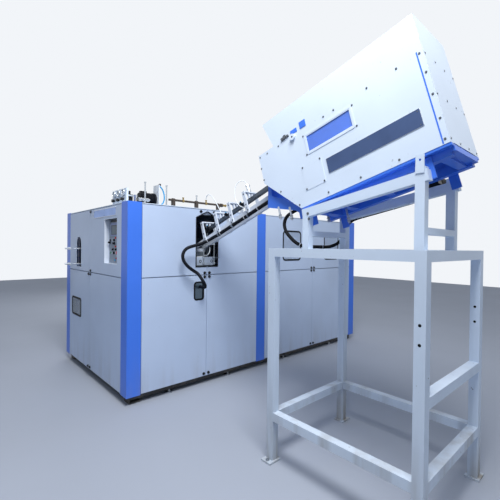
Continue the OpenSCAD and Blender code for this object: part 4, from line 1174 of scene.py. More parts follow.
@dataclass(frozen=True)
class Studio:
    """Camera, lights and floor.

    Attributes:
        draw: The drawing coordinates.
        eye: The camera's place.
        focal_pixels: Its focal length in the photograph's pixels.
        yaw: Its turn from the y axis in degrees.
        pitch: Its tilt above the horizon.
        roll: Its roll.
        floor: Half the floor's side in metres.
        lamps: The lamps.
    """

    draw: Drawing
    eye: Point = (-1378.3, -3268.4, 1561.1)
    focal_pixels: float = 350.07
    yaw: float = -42.177
    pitch: float = -0.513
    roll: float = 0.646
    floor: float = 14.0
    lamps: tuple[Lamp, ...] = (
        Lamp("key_lamp", (-2.6, -3.6, 5.3), (-1.5, -1.2, 1.2), 1.8, 270),
        Lamp("fill_lamp", (0.5, -7.5, 5.2), (0.3, -1.0, 1.0), 4.0, 18),
        Lamp("back_lamp", (1.5, 6.5, 5.0), (0.0, 0.0, 1.2), 4.0, 130),
    )

    def add_camera(self) -> None:
        """Makes the camera at the photograph's viewing angle."""
        yaw, pitch, roll = (math.radians(a) for a in (self.yaw, self.pitch, self.roll))
        forward = Vector((-math.sin(yaw) * math.cos(pitch), math.cos(yaw) * math.cos(pitch), math.sin(pitch)))
        level = Vector((math.cos(yaw), math.sin(yaw), 0))
        above = level.cross(forward)
        right = level * math.cos(roll) + above * math.sin(roll)
        up = above * math.cos(roll) - level * math.sin(roll)
        data = bpy.data.cameras.new("photo_camera")
        data.sensor_width = 36
        data.lens = data.sensor_width * self.focal_pixels / PHOTO_PIXELS
        camera = link_object("photo_camera", data)
        turned = Matrix((right, up, -forward)).transposed().to_4x4()
        camera.matrix_world = Matrix.Translation(self.draw.at(*self.eye)) @ turned
        bpy.context.scene.camera = camera

    def add_light(self, lamp: Lamp) -> None:
        """Adds one lamp.

        Args:
            lamp: The lamp.
        """
        data = bpy.data.lights.new(lamp.name, "AREA")
        data.size, data.energy = lamp.size, lamp.power
        light = link_object(lamp.name, data)
        light.rotation_mode = "QUATERNION"
        light.rotation_quaternion = (Vector(lamp.target) - Vector(lamp.place)).to_track_quat("-Z", "Y")
        light.location = lamp.place

    def add_world(self) -> None:
        """Makes a pale world that lights the object less than it shows behind it."""
        world = bpy.data.worlds.new("studio_world")
        bpy.context.scene.world = world
        world.use_nodes = True
        world.node_tree.nodes.clear()
        graph = Graph(world.node_tree)
        rays = graph.node("ShaderNodeLightPath").outputs
        kinds = ("Camera", "Glossy", "Transmission")
        camera, glossy, through = (Num(graph, rays[f"Is {kind} Ray"]) for kind in kinds)
        seen = camera.math("MAXIMUM", camera.math("MAXIMUM", camera, glossy), through)
        lit = graph.node("ShaderNodeBackground", {0: linear("#dfe9fa"), 1: 0.37})
        shown = graph.node("ShaderNodeBackground", {0: linear("#f2f5f9")})
        mixed = graph.node("ShaderNodeMixShader", {0: seen, 1: lit, 2: shown})
        graph.node("ShaderNodeOutputWorld", {0: mixed})

    def add_floor(self) -> None:
        """Lays the floor under everything."""
        solid = Solid(lambda x, y, z: Vector((x, y, z)))
        half = self.floor
        corners = ((-half, -half), (half, -half), (half, half), (-half, half))
        solid.mesh.faces.new([solid.mesh.verts.new((x, y, -0.001)) for x, y in corners])
        floor = solid.made("workshop_floor")
        floor.data.materials.append(FLOOR.material())

    def build(self) -> None:
        """Makes all of the studio."""
        self.add_camera()
        bpy.context.scene.view_settings.view_transform = "Standard"
        self.add_world()
        self.add_floor()
        for lamp in self.lamps:
            self.add_light(lamp)


# Routes of the cords, in drawing millimetres; the gate loop's is on the chute's frame


CONDUIT_ROUTE: tuple[Point, ...] = (
    (832, -8, 1110), (832, -20, 1110), (832, -86, 1110), (816, -127, 1127), (790, -150, 1159),
    (764, -147, 1202), (728, -116, 1266), (663, -105, 1310), (600, -109, 1355), (559, -107, 1406),
    (545, -106, 1456), (559, -105, 1502), (595, -106, 1537), (645, -110, 1557), (700, -120, 1572),
    (753, -147, 1591), (799, -191, 1621), (828, -253, 1657), (838, -334, 1688), (838, -390, 1710),
    (838, -446, 1731), (838, -563, 1775), (838, -792, 1862), (838, -988, 1937), (838, -1082, 1972),
    (838, -1162, 2003),
)  # fmt: skip

CABLE_ROUTE: tuple[Point, ...] = (
    (790, -1488, 1876), (790, -1470, 1871), (788, -1400, 1851), (778, -1335, 1812), (768, -1318, 1752),
    (762, -1345, 1688), (764, -1398, 1634), (778, -1442, 1596), (812, -1478, 1574), (872, -1489, 1567.8),
    (1000, -1490, 1567.8), (1110, -1490, 1567.8), (1170, -1502, 1575), (1204, -1546, 1604),
    (1213, -1594, 1658), (1214, -1615, 1722), (1215, -1648, 1774), (1216, -1715, 1806),
    (1217, -1900, 1845), (1219, -2080, 1883), (1228, -2150, 1900), (1248, -2210, 1920),
    (1262, -2258, 1938.5), (1266, -2286, 1950.3), (1266.4, -2311.5, 1957.6),
)  # fmt: skip

BLUE_HOSE_ROUTE: tuple[Point, ...] = (
    (450.5, 236, 2212), (461, 234, 2206), (477, 231, 2190), (491, 227, 2164), (500, 223, 2132),
    (503, 219, 2098), (500, 216, 2066), (490, 214, 2038), (474, 213, 2017), (454, 213, 2005),
    (432, 213, 2000.5), (410, 213, 2000), (390, 213, 2000), (380, 213, 2000),
)  # fmt: skip

HEADER_HOSE_ROUTE: tuple[Point, ...] = (
    (1010, 150, 2100), (1010, 149.5, 2117), (1008, 144, 2135), (1004, 131, 2149), (999, 110, 2159),
    (993, 84, 2163), (986, 54, 2159), (979, 22, 2149), (972, -12, 2133), (966, -48, 2110), (961, -84, 2082),
    (957, -118, 2050), (954, -150, 2016), (951, -180, 1984), (948, -207, 1953), (946.5, -226, 1930),
)  # fmt: skip

GATE_HOSE_ROUTE: tuple[Point, ...] = (
    (-6, 784, 304), (-6, 783, 314), (-10, 778, 330), (-20, 768, 343), (-34, 752, 350), (-50, 733, 346),
    (-64, 714, 332), (-76, 698, 308), (-84, 686, 276), (-90, 679, 240), (-95, 677, 202), (-98, 682, 164),
    (-100, 693, 130), (-101, 709, 100), (-101, 728, 76), (-101, 747, 58), (-101, 764, 47), (-101, 778, 41),
    (-101, 785, 40),
)  # fmt: skip

BLOW_TUBE_ROUTE: tuple[Point, ...] = (
    (990, 40, 1556), (990.5, 40, 1544), (992, 40, 1528), (991, 40, 1510), (986, 40, 1493), (977, 40, 1478),
    (965, 40, 1466), (950, 43, 1459), (932, 53, 1452), (912, 69, 1446), (892, 87, 1441), (873, 105, 1438),
    (858, 120, 1437), (848, 130, 1437),
)  # fmt: skip


# Sub-assemblies


@dataclass(frozen=True)
class Turned:
    """A turned form.

    Attributes:
        shape: Its radius and height pairs.
        point: Where its axis starts.
        axis: The direction of its axis.
        lean: What its flats lean towards.
        sides: How many sides it has.
    """

    shape: Profile
    point: Point
    axis: Vector
    lean: Vector
    sides: int = 24


@dataclass
class Fittings:
    """What each group of fittings has.

    Attributes:
        shop: The workshop.
    """

    shop: Workshop

    def solid(self, slope: Slope | None = None) -> Solid:
        """Returns an empty mesh in drawing coordinates or on a slope."""
        return Solid(self.shop.draw.on(slope) if slope else self.shop.draw.at)

    def filled(self, turned: Sequence[Turned], blocks: Sequence[Block] = ()) -> Solid:
        """Returns a mesh in drawing coordinates with turned forms and blocks.

        Args:
            turned: The turned forms.
            blocks: The boxes: lowest corner, highest corner and bevel.

        Returns:
            The mesh.
        """
        solid = self.solid()
        for form in turned:
            solid.lathe(form.shape, solid.spot(form.point, form.axis, form.lean), form.sides)
        for low, high, bevel in blocks:
            solid.box(low, high, bevel)
        return solid

    def add(
        self, name: str, solid: Solid, slot: str, finish: Finish, body: str = "cabinet", smooth: bool = False
    ) -> bpy.types.Object:
        """Makes a piece of a mesh and dresses it.

        Args:
            name: The piece's name.
            solid: Its mesh.
            slot: The record's material slot it is nearest to.
            finish: Its finish.
            body: The body it rides on.
            smooth: Whether its faces shade smoothly.

        Returns:
            The piece.
        """
        return self.shop.finish(solid.made(name, smooth), slot, finish, body)

    def lay(self, cord: Cord, route: Sequence[Point], slope: Slope | None = None) -> None:
        """Makes a cord along a route in drawing coordinates or on a slope."""
        self.shop.lay(cord, [self.solid(slope).place(*point) for point in route])


@dataclass
class Cords(Fittings):
    """The corrugated conduit and the round power cable of the feeder."""

    conduit: Cord = Cord(
        "conduit_tube", 18.0, PLASTIC, "black_plastic", 8, 0.05, 6.5, "conduit",
        Ties("conduit_ties", 128, 196, 190),
    )  # fmt: skip
    cable: Cord = Cord(
        "power_cable_sheath", 14.0, RUBBER, "black_rubber", 8, node="power_cable",
        ties=Ties("power_cable_ties", 60, 180, 230),
    )  # fmt: skip

    def build(self) -> None:
        """Makes both cords."""
        self.lay(self.conduit, CONDUIT_ROUTE)
        self.lay(self.cable, CABLE_ROUTE)


@dataclass(frozen=True)
class Opening:
    """A window or port in a door's sheet.

    Attributes:
        name: Its rubber trim's name.
        body: The body it is in.
        low: Its lowest corner, along the side and up.
        high: Its highest corner.
        radius: Its corners' radius.
        on_end: Whether it is in the cabinet's end, not in its long side.
        lip_out: How far the trim's lip reaches over the sheet.
        lip_in: How far the trim reaches into the opening.
    """

    name: str
    body: str
    low: Pair
    high: Pair
    radius: float
    on_end: bool = False
    lip_out: float = 13.0
    lip_in: float = 10.0


@dataclass
class CabinetFittings(Fittings):
    """Rubber trims, the bare nameplate's rim with its rivets and the roof's screws.

    Attributes:
        openings: The windows and ports.
        sheet: Thickness of a door's sheet.
        lip: Height of a trim's lip off the sheet.
        plate: The nameplate's lowest and highest corner, as y and z.
        rim: Cross-section of the nameplate's rim.
        screw_z: Height of the roof's screws.
        long_rows: Where the screws by the long sides stand.
        short_rows: Where the screws by the short sides stand.
    """

    openings: tuple[Opening, ...] = (
        Opening("trim_window_left", "window_door_left", (2198, 1385), (2568, 1785), 50),
        Opening("trim_window_right", "window_door_right", (3142, 1385), (3512, 1785), 50),
        Opening("trim_window_end", "end_door_left", (1400, 666), (1752, 880), 20, True),
        Opening("trim_port", "cabinet", (765, 970), (880, 1158), 25, False, 11.0, 7.0),
    )
    sheet: float = 2.0
    lip: float = 4.2
    plate: tuple[Pair, Pair] = ((276, 1867), (944, 1957))
    rim: Profile = ((-7, 2.02), (-6, 3.6), (-1.5, 3.6), (0.6, 2.6), (0.6, 0.05), (-7, 0.05))
    screw_z: float = 1986.2
    long_rows: tuple[Pair, ...] = tuple((x, y) for y in (110, 1910) for x in span(260, 3740, 12))
    short_rows: tuple[Pair, ...] = tuple((x, y) for x in (110, 3890) for y in span(700, 1320, 3))

    def on_front(self, u: float, v: float, off: float) -> Vector:
        """Returns a point on the long front side."""
        return self.shop.draw.at(u, -off, v)

    def on_end(self, u: float, v: float, off: float) -> Vector:
        """Returns a point on the left end."""
        return self.shop.draw.at(-off, u, v)

    def trim(self, opening: Opening) -> None:
        """Makes one rubber trim that grips the sheet from both sides.

        Args:
            opening: The opening it is in.
        """
        out, inner, sheet, lip = opening.lip_out, -opening.lip_in, self.sheet, self.lip
        back = -sheet - 3.8
        profile = (
            (inner, back), (inner, lip - 1), (inner + 1, lip), (out - 3, lip), (out, lip - 1.8),
            (out, 0.02), (0.1, 0.02), (0.1, -sheet - 0.02), (out, -sheet - 0.02), (out, back),
        )  # fmt: skip
        solid = Solid(self.on_end if opening.on_end else self.on_front)
        solid.rim(opening.low, opening.high, opening.radius, profile)
        self.add(opening.name, solid, "black_rubber", RUBBER, opening.body)

    def nameplate_rim(self) -> None:
        """Makes the thin folded rim of the bare nameplate and its rivets."""
        solid = Solid(self.on_end)
        solid.rim(*self.plate, 6, self.rim)
        self.add("nameplate_rim", solid, "aluminium", RIM_STEEL, "control")
        seats = [(self.on_end(y, z, 2.6), TO_END) for y, z in inset_grid(*self.plate, 22, 16, 3)]
        self.shop.screws("nameplate_rivets", seats, 3.2, body="control")

    def build(self) -> None:
        """Makes all of the cabinet's fittings."""
        for opening in self.openings:
            self.trim(opening)
        self.nameplate_rim()
        places = (*self.long_rows, *self.short_rows)
        seats = [(self.shop.draw.at(x, y, self.screw_z), UP) for x, y in places]
        self.shop.screws("roof_screws", seats, 6)


Knob = tuple[float, float, float, float, float]


@dataclass
class ControlPanel(Fittings):
    """The plate in the control recess with its screen, lamps and switches.

    Attributes:
        back: Distance of the recess's back from the cabinet's end.
        plate: The faceplate's lowest and highest corner, as y and z.
        screen: The screen housing's lowest and highest corner.
        glass: The screen's lowest and highest corner.
        vent: The recess vent's lowest and highest corner.
        black: The black devices' y, z, radius, height and the height of their seat.
        red: The same of the red ones.
        blue: The same of the blue ones.
        selectors: The selectors' y and z, and their grips' turn.
    """

    back: float = 52.0
    plate: tuple[Pair, Pair] = ((282, 1572), (582, 1807))
    screen: tuple[Pair, Pair] = ((330, 1660), (534, 1800))
    glass: tuple[Pair, Pair] = ((350, 1678), (514, 1770))
    vent: tuple[Pair, Pair] = ((384, 1808.5), (551, 1830))
    black: tuple[Knob, ...] = (
        (446, 1616, 10, 14, 4), (557, 1616, 9, 10, 4), (408, 1518, 9, 14, 0), (491, 1518, 9, 14, 0),
    )  # fmt: skip
    red: tuple[Knob, ...] = ((411, 1640, 6, 9, 4), (420, 1548, 6, 9, 0), (399, 1424, 6, 8, 0))
    blue: tuple[Knob, ...] = ((437, 1406, 8, 6, 0),)
    selectors: tuple[Point, ...] = ((566, 1592, 0.6), (445, 1582, -0.5))

    def face(self, y: float, z: float, off: float) -> Vector:
        """Returns a point off the recess's back, towards the user."""
        return self.shop.draw.at(self.back - off, y, z)

    def block(
        self, name: str, corners: tuple[Pair, Pair], heights: Pair, finish: Finish, bevel: float = 1.2
    ) -> bpy.types.Object:
        """Makes one bevelled block on the recess's back.

        Args:
            name: Its name.
            corners: Its lowest and highest corner, as y and z.
            heights: Where it begins and ends off the back.
            finish: Its finish.
            bevel: Width of its bevelled edges.

        Returns:
            The block.
        """
        solid = Solid(self.face)
        solid.box((*corners[0], heights[0]), (*corners[1], heights[1]), bevel)
        return self.add(name, solid, "black_plastic", finish, "control")

    def faceplate(self) -> None:
        """Makes the faceplate with the screen's housing, rim and glass."""
        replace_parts(self.block("control_faceplate", self.plate, (0.1, 4), PANEL_GREY), "control_screen")
        self.block("screen_housing", self.screen, (4, 12), SCREEN_FRAME, 3)
        rim = Solid(self.face)
        rim.rim(*self.glass, 4, ((-2, 12.02), (0, 13.6), (3, 13.6), (4, 12.02)))
        self.add("screen_rim", rim, "black_plastic", PLASTIC, "control")
        self.block("screen_glass", self.glass, (11.6, 12.6), SCREEN_GLASS, 0.4)
        self.block("recess_vent", self.vent, (0.1, 5), PLASTIC, 2)

    def knob(self, solid: Solid, y: float, z: float, radius: float, tall: float, base: float) -> None:
        """Adds a pilot device with its collar and head to a mesh.

        Args:
            solid: The mesh.
            y: Its place along the recess.
            z: Its height.
            radius: Its head's radius.
            tall: How far its head stands off its collar.
            base: Height of its seat off the recess's back.
        """
        collar = ((radius + 4, 0), (radius + 4, 3), (radius + 2, 4.5))
        head = ((radius, 4.6), (radius, tall), (radius - 1.5, tall + 1.5))
        solid.lathe((*collar, *head), solid.spot((y, z, base), TO_END), 28)

    def devices(self) -> None:
        """Makes the lamps and switches in three finishes, and two selectors with their grips."""
        for name, finish, slot, knobs in (
            ("pilot_red", RED_PLASTIC, "red_plastic", self.red),
            ("pilot_black", PLASTIC, "black_plastic", self.black),
            ("pilot_blue", TUBE_BLUE, "green_plastic", self.blue),
        ):
            solid = Solid(self.face)
            for knob in knobs:
                self.knob(solid, *knob)
            self.add(name, solid, slot, finish, "control")
        solid = Solid(self.face)
        for y, z, turn in self.selectors:
            self.knob(solid, y, z, 12, 12, 4)
            spot = solid.spot((y, z, 16), TO_END) @ Matrix.Rotation(turn, 4, "Z")
            solid.box((-13, -4, 0), (13, 4, 12), 1.5, inside(spot))
        self.add("panel_selectors", solid, "black_plastic", PLASTIC, "control")

    def build(self) -> None:
        """Makes all of the control panel."""
        self.faceplate()
        self.devices()
        seats = [(self.face(y, z, 4.6), TO_END) for y, z in inset_grid(*self.plate, 12, 12, 2)]
        self.shop.screws("faceplate_screws", seats, 4, body="control")


@dataclass
class RoofFittings(Fittings):
    """Gauge dials, air fittings and the blue hose between the units on the roof.

    Attributes:
        dials: The dials' middles, each with its pointer's turn.
        radius: Radius of a dial's face.
        bezel: A bezel's profile: how far over that radius, and how high.
        ticks: How many graduations a dial has.
        first_tick: Where the first is, in degrees.
        tick_step: Degrees between two.
        bright: The silver nut, tee and regulator beside the motor.
        brackets: Their brackets.
        pipe: The pipe between the nut and the tee: its ends and its radius.
        dark: The black plugs and the valve's foot.
        header: Middle of the air header, as y and z.
        header_end: Profile of its brass end.
        collar: Profile of a tee on it.
        branch: Profile of that tee's upright end.
        tees_x: Where the tees are.
    """

    dials: tuple[tuple[Point, float], ...] = (
        ((78.9, 313, 2111), -1.9), ((78.9, 433, 2111), -0.4), ((78.9, 553, 2111), 0.7),
    )  # fmt: skip
    radius: float = 31.5
    bezel: Profile = (
        (0.4, 0), (0.4, 1.5), (-2.5, 4.4), (1, 6.2), (5.4, 5.4), (6.4, 2), (6.4, -9), (4.7, -9), (4.7, 0),
        (0.4, 0),
    )  # fmt: skip
    ticks: int = 28
    first_tick: float = 135.0
    tick_step: float = 10.0
    bright: tuple[Turned, ...] = (
        Turned(
            ((7, 0), (11, 1), (11, 9), (8, 10), (8, 34), (11, 35), (11, 44), (7, 45)),
            (109.9, 262, 2080), ALONG_X, UP, 6,
        ),
        Turned(((12, 0), (15, 2), (15, 22), (9, 24), (9, 34)), (196, 262, 2060), UP, ALONG_X, 8),
        Turned(
            (
                (12, 0), (19, 1.5), (19, 12), (17, 13), (17, 96), (19, 97), (19, 112), (13, 113), (13, 128),
                (9, 130),
            ),
            (206, 226, 2046), ALONG_X, UP, 28,
        ),
    )  # fmt: skip
    brackets: tuple[Block, ...] = (
        ((168, 246, 1985), (190, 250, 2092), 0.8), ((168, 246, 1985), (190, 280, 1989), 0.8),
        ((262, 215, 1985), (282, 237, 2028), 1),
    )  # fmt: skip
    pipe: tuple[Point, Point, float] = ((150, 262, 2080), (215, 262, 2082), 7)
    dark: tuple[Turned, ...] = (
        Turned(((15, 0), (15, 9), (11, 12)), (336, 226, 2046), ALONG_X, UP),
        Turned(((9, 0), (12, 2), (12, 20), (8, 22)), (449, 238, 2219), Vector((0.75, -0.1, 0.65)), UP, 16),
        Turned(((13, 0), (13, 4), (10, 5), (10, 27), (6, 30)), (372, 213, 1985), UP, ALONG_X, 20),
    )
    header: Pair = (150, 2065)
    header_end: Profile = ((9, 0), (17, 1), (17, 16), (12, 18), (12, 40), (16, 42), (16, 58), (10, 60))
    collar: Profile = ((13.5, -12), (16, -10), (16, 10), (13.5, 12))
    branch: Profile = ((8, 0), (8, 26), (12, 27), (12, 36), (7, 37))
    tees_x: Pair = (700, 1010)

    def gauges(self) -> None:
        """Makes the dials' bezels, faces, graduations, pointers and glasses."""
        bezel, face, marks, glass = (self.solid() for _ in range(4))
        r = self.radius
        hood = [(r + over, height) for over, height in self.bezel]
        for middle, turn in self.dials:
            spot = bezel.spot(middle, TO_END)
            bezel.lathe(hood, spot, 36, capped=False)
            face.lathe(((r, -0.5), (r, 0.9)), spot, 36)
            for k in range(self.ticks):
                angle = math.radians(self.first_tick - k * self.tick_step)
                tick = spot @ Matrix.Rotation(angle, 4, "Z")
                tall = 3.5 if k % 5 else 6
                marks.box((-0.5, r - 4 - tall, 0.8), (0.5, r - 4, 1.4), place=inside(tick))
            hand = spot @ Matrix.Rotation(turn, 4, "Z")
            marks.box((-0.8, -8, 1.6), (0.8, r - 8, 2.4), place=inside(hand))
            marks.lathe(((3, 0.9), (3, 3)), spot, 16)
            glass.lathe(((r - 1, 3.4), (r - 1, 4), (r * 0.6, 4.8), (1, 5.2)), spot, 36)
        self.add("gauge_bezels", bezel, "aluminium", CHROME, smooth=True)
        self.add("gauge_faces", face, "white_paint", DIAL_FACE)
        self.add("gauge_marks", marks, "black_plastic", PLASTIC)
        self.add("gauge_glasses", glass, "clear_pane", PANE, smooth=True)

    def fittings(self) -> None:
        """Makes the silver fittings with their brackets, and the black ones."""
        bright, at = self.filled(self.bright, self.brackets), self.shop.draw.at
        start, end, radius = self.pipe
        bright.pipe(at(*start), at(*end), radius)
        self.add("roof_air_fittings", bright, "aluminium", CHROME)
        self.add("roof_dark_fittings", self.filled(self.dark), "black_plastic", PLASTIC)

    def header_ends(self) -> None:
        """Makes the air header's brass end and its tees."""
        y, z = self.header
        turned = [Turned(self.header_end, (1249, y, z), ALONG_X, UP, 8)]
        for x in self.tees_x:
            turned.append(Turned(self.collar, (x, y, z), ALONG_X, UP, 8))
            turned.append(Turned(self.branch, (x, y, z + 5), UP, ALONG_X, 12))
        self.add("header_brass", self.filled(turned), "aluminium", BRASS)

    def build(self) -> None:
        """Makes all of the roof's fittings."""
        self.gauges()
        self.fittings()
        self.header_ends()
        self.lay(Cord("hose_blue", 7.0, TUBE_BLUE), BLUE_HOSE_ROUTE)


@dataclass
class ChuteFittings(Fittings):
    """Bolts, the gate's air fittings and loop, and the sensors of the chute.

    Attributes:
        brackets: Where the brackets stand along the chute; the gate is on the last.
        arm: Distance of an arm's outer face from the middle.
        arm_bolts: Where an arm's bolts are, along from the bracket and up.
        cross_top: Height of a bracket's cross bar.
        cap: Profile of the gate cylinder's caps.
        cap_heights: Where the caps start.
        sensors: Where the sensors stand.
    """

    brackets: tuple[float, ...] = (40, 300, 545, 790)
    arm: float = 87.0
    arm_bolts: tuple[Pair, ...] = ((-9, -8), (9, 8), (0, 66), (0, 176))
    cross_top: float = 205.0
    cap: Profile = ((20.3, 0), (23, 1), (23, 16), (20.3, 17), (20.3, 0))
    cap_heights: Pair = (205.2, 272)
    sensors: tuple[float, ...] = (68, 420, 672)

    def direction(self, x: float, along: float, up: float) -> Vector:
        """Returns a direction given on the chute's frame."""
        place = self.shop.draw.on(CHUTE)
        return (place(x, along, up) - place(0, 0, 0)).normalized()

    def bolts(self) -> None:
        """Sets the brackets' bolts and the cross bars' screws."""
        place, up, top = self.shop.draw.on(CHUTE), self.direction(0, 0, 1), self.cross_top + 0.1
        arms, bars = [], []
        for s in self.brackets:
            for side in (-1, 1):
                for off, height in self.arm_bolts:
                    arms.append((place(side * (self.arm + 0.1), s + off, height), self.direction(side, 0, 0)))
                if s != self.brackets[-1]:
                    bars.append((place(side * 62, s, top), up))
                bars.append((place(side * 20, s + 13, top), up))
        self.shop.screws("bracket_bolts", arms, 6.5, style=HeadStyle.HEX)
        self.shop.screws("cross_bar_screws", bars, 4.5)

    def gate_air(self) -> None:
        """Makes the gate cylinder's caps and fittings."""
        solid, up, gate = self.solid(CHUTE), self.direction(0, 0, 1), self.brackets[-1]
        for height in self.cap_heights:
            solid.lathe(self.cap, solid.spot((0, gate, height), up, TO_END), 24, capped=False)
        for shape, point, axis, lean in (
            (((7, 0), (9, 1), (9, 8), (6, 9), (6, 16)), (-6, 784, 289), up, TO_END),
            (((8, 0), (10, 1), (10, 12), (7, 14), (7, 20)), (-self.arm, gate, 40), TO_END, up),
            (((8, 0), (10, 1), (10, 10), (6, 12)), (18.5, 287, self.cross_top), up, TO_END),
        ):
            solid.lathe(shape, solid.spot(point, axis, lean), 6)
        self.add("gate_air_fittings", solid, "aluminium", CHROME)

    def sensor(self) -> None:
        """Makes the preform sensors and their blue fittings beside the rails."""
        solid, blue, up = self.solid(CHUTE), self.solid(CHUTE), self.direction(0, 0, 1)
        for s in self.sensors:
            solid.box((-46, s - 9, 116), (-26, s + 9, 150), 2)
            solid.box((-58, s - 4, 124), (-45, s + 4, 132), 1)
            blue.lathe(((5, 0), (7, 1), (7, 9), (5, 11)), blue.spot((-36, s, 149.5), up, TO_END), 14)
        self.add("rail_sensors", solid, "black_plastic", PLASTIC)
        self.add("sensor_fittings", blue, "blue_paint", TUBE_BLUE)

    def build(self) -> None:
        """Makes all of the chute's fittings."""
        self.bolts()
        self.gate_air()
        self.lay(Cord("hose_gate_loop", 4.0), GATE_HOSE_ROUTE, CHUTE)
        self.sensor()
        self.lay(Cord("hose_header", 5.0), HEADER_HOSE_ROUTE)


@dataclass
class InfeedFittings(Fittings):
    """The sill plate, rods, blow tube and guide rod that show in the infeed opening.

    Attributes:
        sill_low: The sill plate's lowest corner.
        sill_high: Its highest corner.
        holes: The sill's two holes, as x and z.
        grommet: Profile of the holes' rubber rings.
        plug: Profile of the dark plug in each.
        rods: The two rods as x, lowest and highest point.
        rod_y: Distance of the rods from the door's face.
        clamps_z: Where the rods' clamps start.
        clamps: The two upper clamps.
        guide: The long guide rod and its collar.
        tube_ends: The two blocks in which the air tube ends.
    """

    sill_low: Point = (800, 30, 1346)
    sill_high: Point = (1056, 36, 1441)
    holes: tuple[Pair, Pair] = ((856, 1392), (1012, 1392))
    grommet: Profile = ((9, -6), (9, 0), (13, 1.8), (16, 1.8), (17, 0.6), (17, -6))
    plug: Profile = ((9.4, -6), (9.4, -1.2))
    rods: tuple[Point, ...] = ((896, 1352, 1574), (1040, 1350, 1594))
    rod_y: float = 23.0
    clamps_z: Pair = (1362, 1425)
    clamps: tuple[Block, ...] = (
        ((1002, 14, 1580), (1048, 32, 1596), 1.5), ((886, 14, 1566), (906, 32, 1579), 1.5),
    )  # fmt: skip
    guide: tuple[Turned, ...] = (
        Turned(((4.5, -134), (4.5, 0), (3.2, 1.5)), (1027, -98, 1432), TO_FRONT, UP, 16),
        Turned(((7, 0), (11, 1), (11, 13), (7, 14)), (1027, 24, 1432), TO_FRONT, UP, 6),
    )
    tube_ends: tuple[Block, ...] = (
        ((977, 28, 1556), (1003, 52, 1573), 2), ((819, 128, 1427), (852, 158, 1447), 2),
    )  # fmt: skip

    def sill(self) -> None:
        """Makes the folded sill plate with its two holes and the arms that carry it."""
        plate, dark = self.solid(), self.solid()
        (left, front, low), (right, back, _) = self.sill_low, self.sill_high
        plate.box(self.sill_low, self.sill_high, 1.2)
        for x in (left + 4, right - 12):
            plate.box((x, back - 1, low + 12), (x + 8, 133, low + 44), 1)
        self.add("sill_plate", plate, "aluminium", SILL_METAL)
        for x, z in self.holes:
            spot = dark.spot((x, front + 0.2, z), TO_FRONT)
            dark.lathe(self.grommet, spot, 28, capped=False)
            dark.lathe(self.plug, spot, 28)
        self.add("sill_grommets", dark, "black_rubber", RUBBER)

    def stand_rods(self) -> None:
        """Makes the two rods with their clamps, and the long guide rod with its bright collar."""
        solid, y = self.filled(self.guide, self.clamps), self.rod_y
        for x, low, high in self.rods:
            solid.lathe(((5, 0), (5, high - low)), solid.spot((x, y, low), UP, TO_FRONT), 16)
            for z in self.clamps_z:
                solid.box((x - 11, y - 8, z), (x + 11, self.sill_low[1] + 0.5, z + 16), 1.5)
        self.add("infeed_rods", solid, "zinc_steel", RODS)

    def build(self) -> None:
        """Makes all of the infeed's fittings; the air tube between the rods ends in two blocks."""
        self.sill()
        self.stand_rods()
        self.add("blow_tube_blocks", self.filled((), self.tube_ends), "black_plastic", PLASTIC)
        self.lay(Cord("hose_blow_off", 5.5), BLOW_TUBE_ROUTE)


COVER_HATCH: tuple[Pair, ...] = ((88, 290), (250, 290), (250, 119), (88, 119))
COVER_EDGES: tuple[Pair, ...] = (
    (-317, 569), (-320, 366), (-9, 31), (352, 565), (440, 566), (76, 566), (700, 566), (900, 566),
    (1040, 566), (518, 27), (1040, 27), (780, 27), (260, 27), (1046, 300), (1046, 150), (1046, 440),
    (-165, 200), (-325, 470), (-230, 566), (-100, 566),
)  # fmt: skip


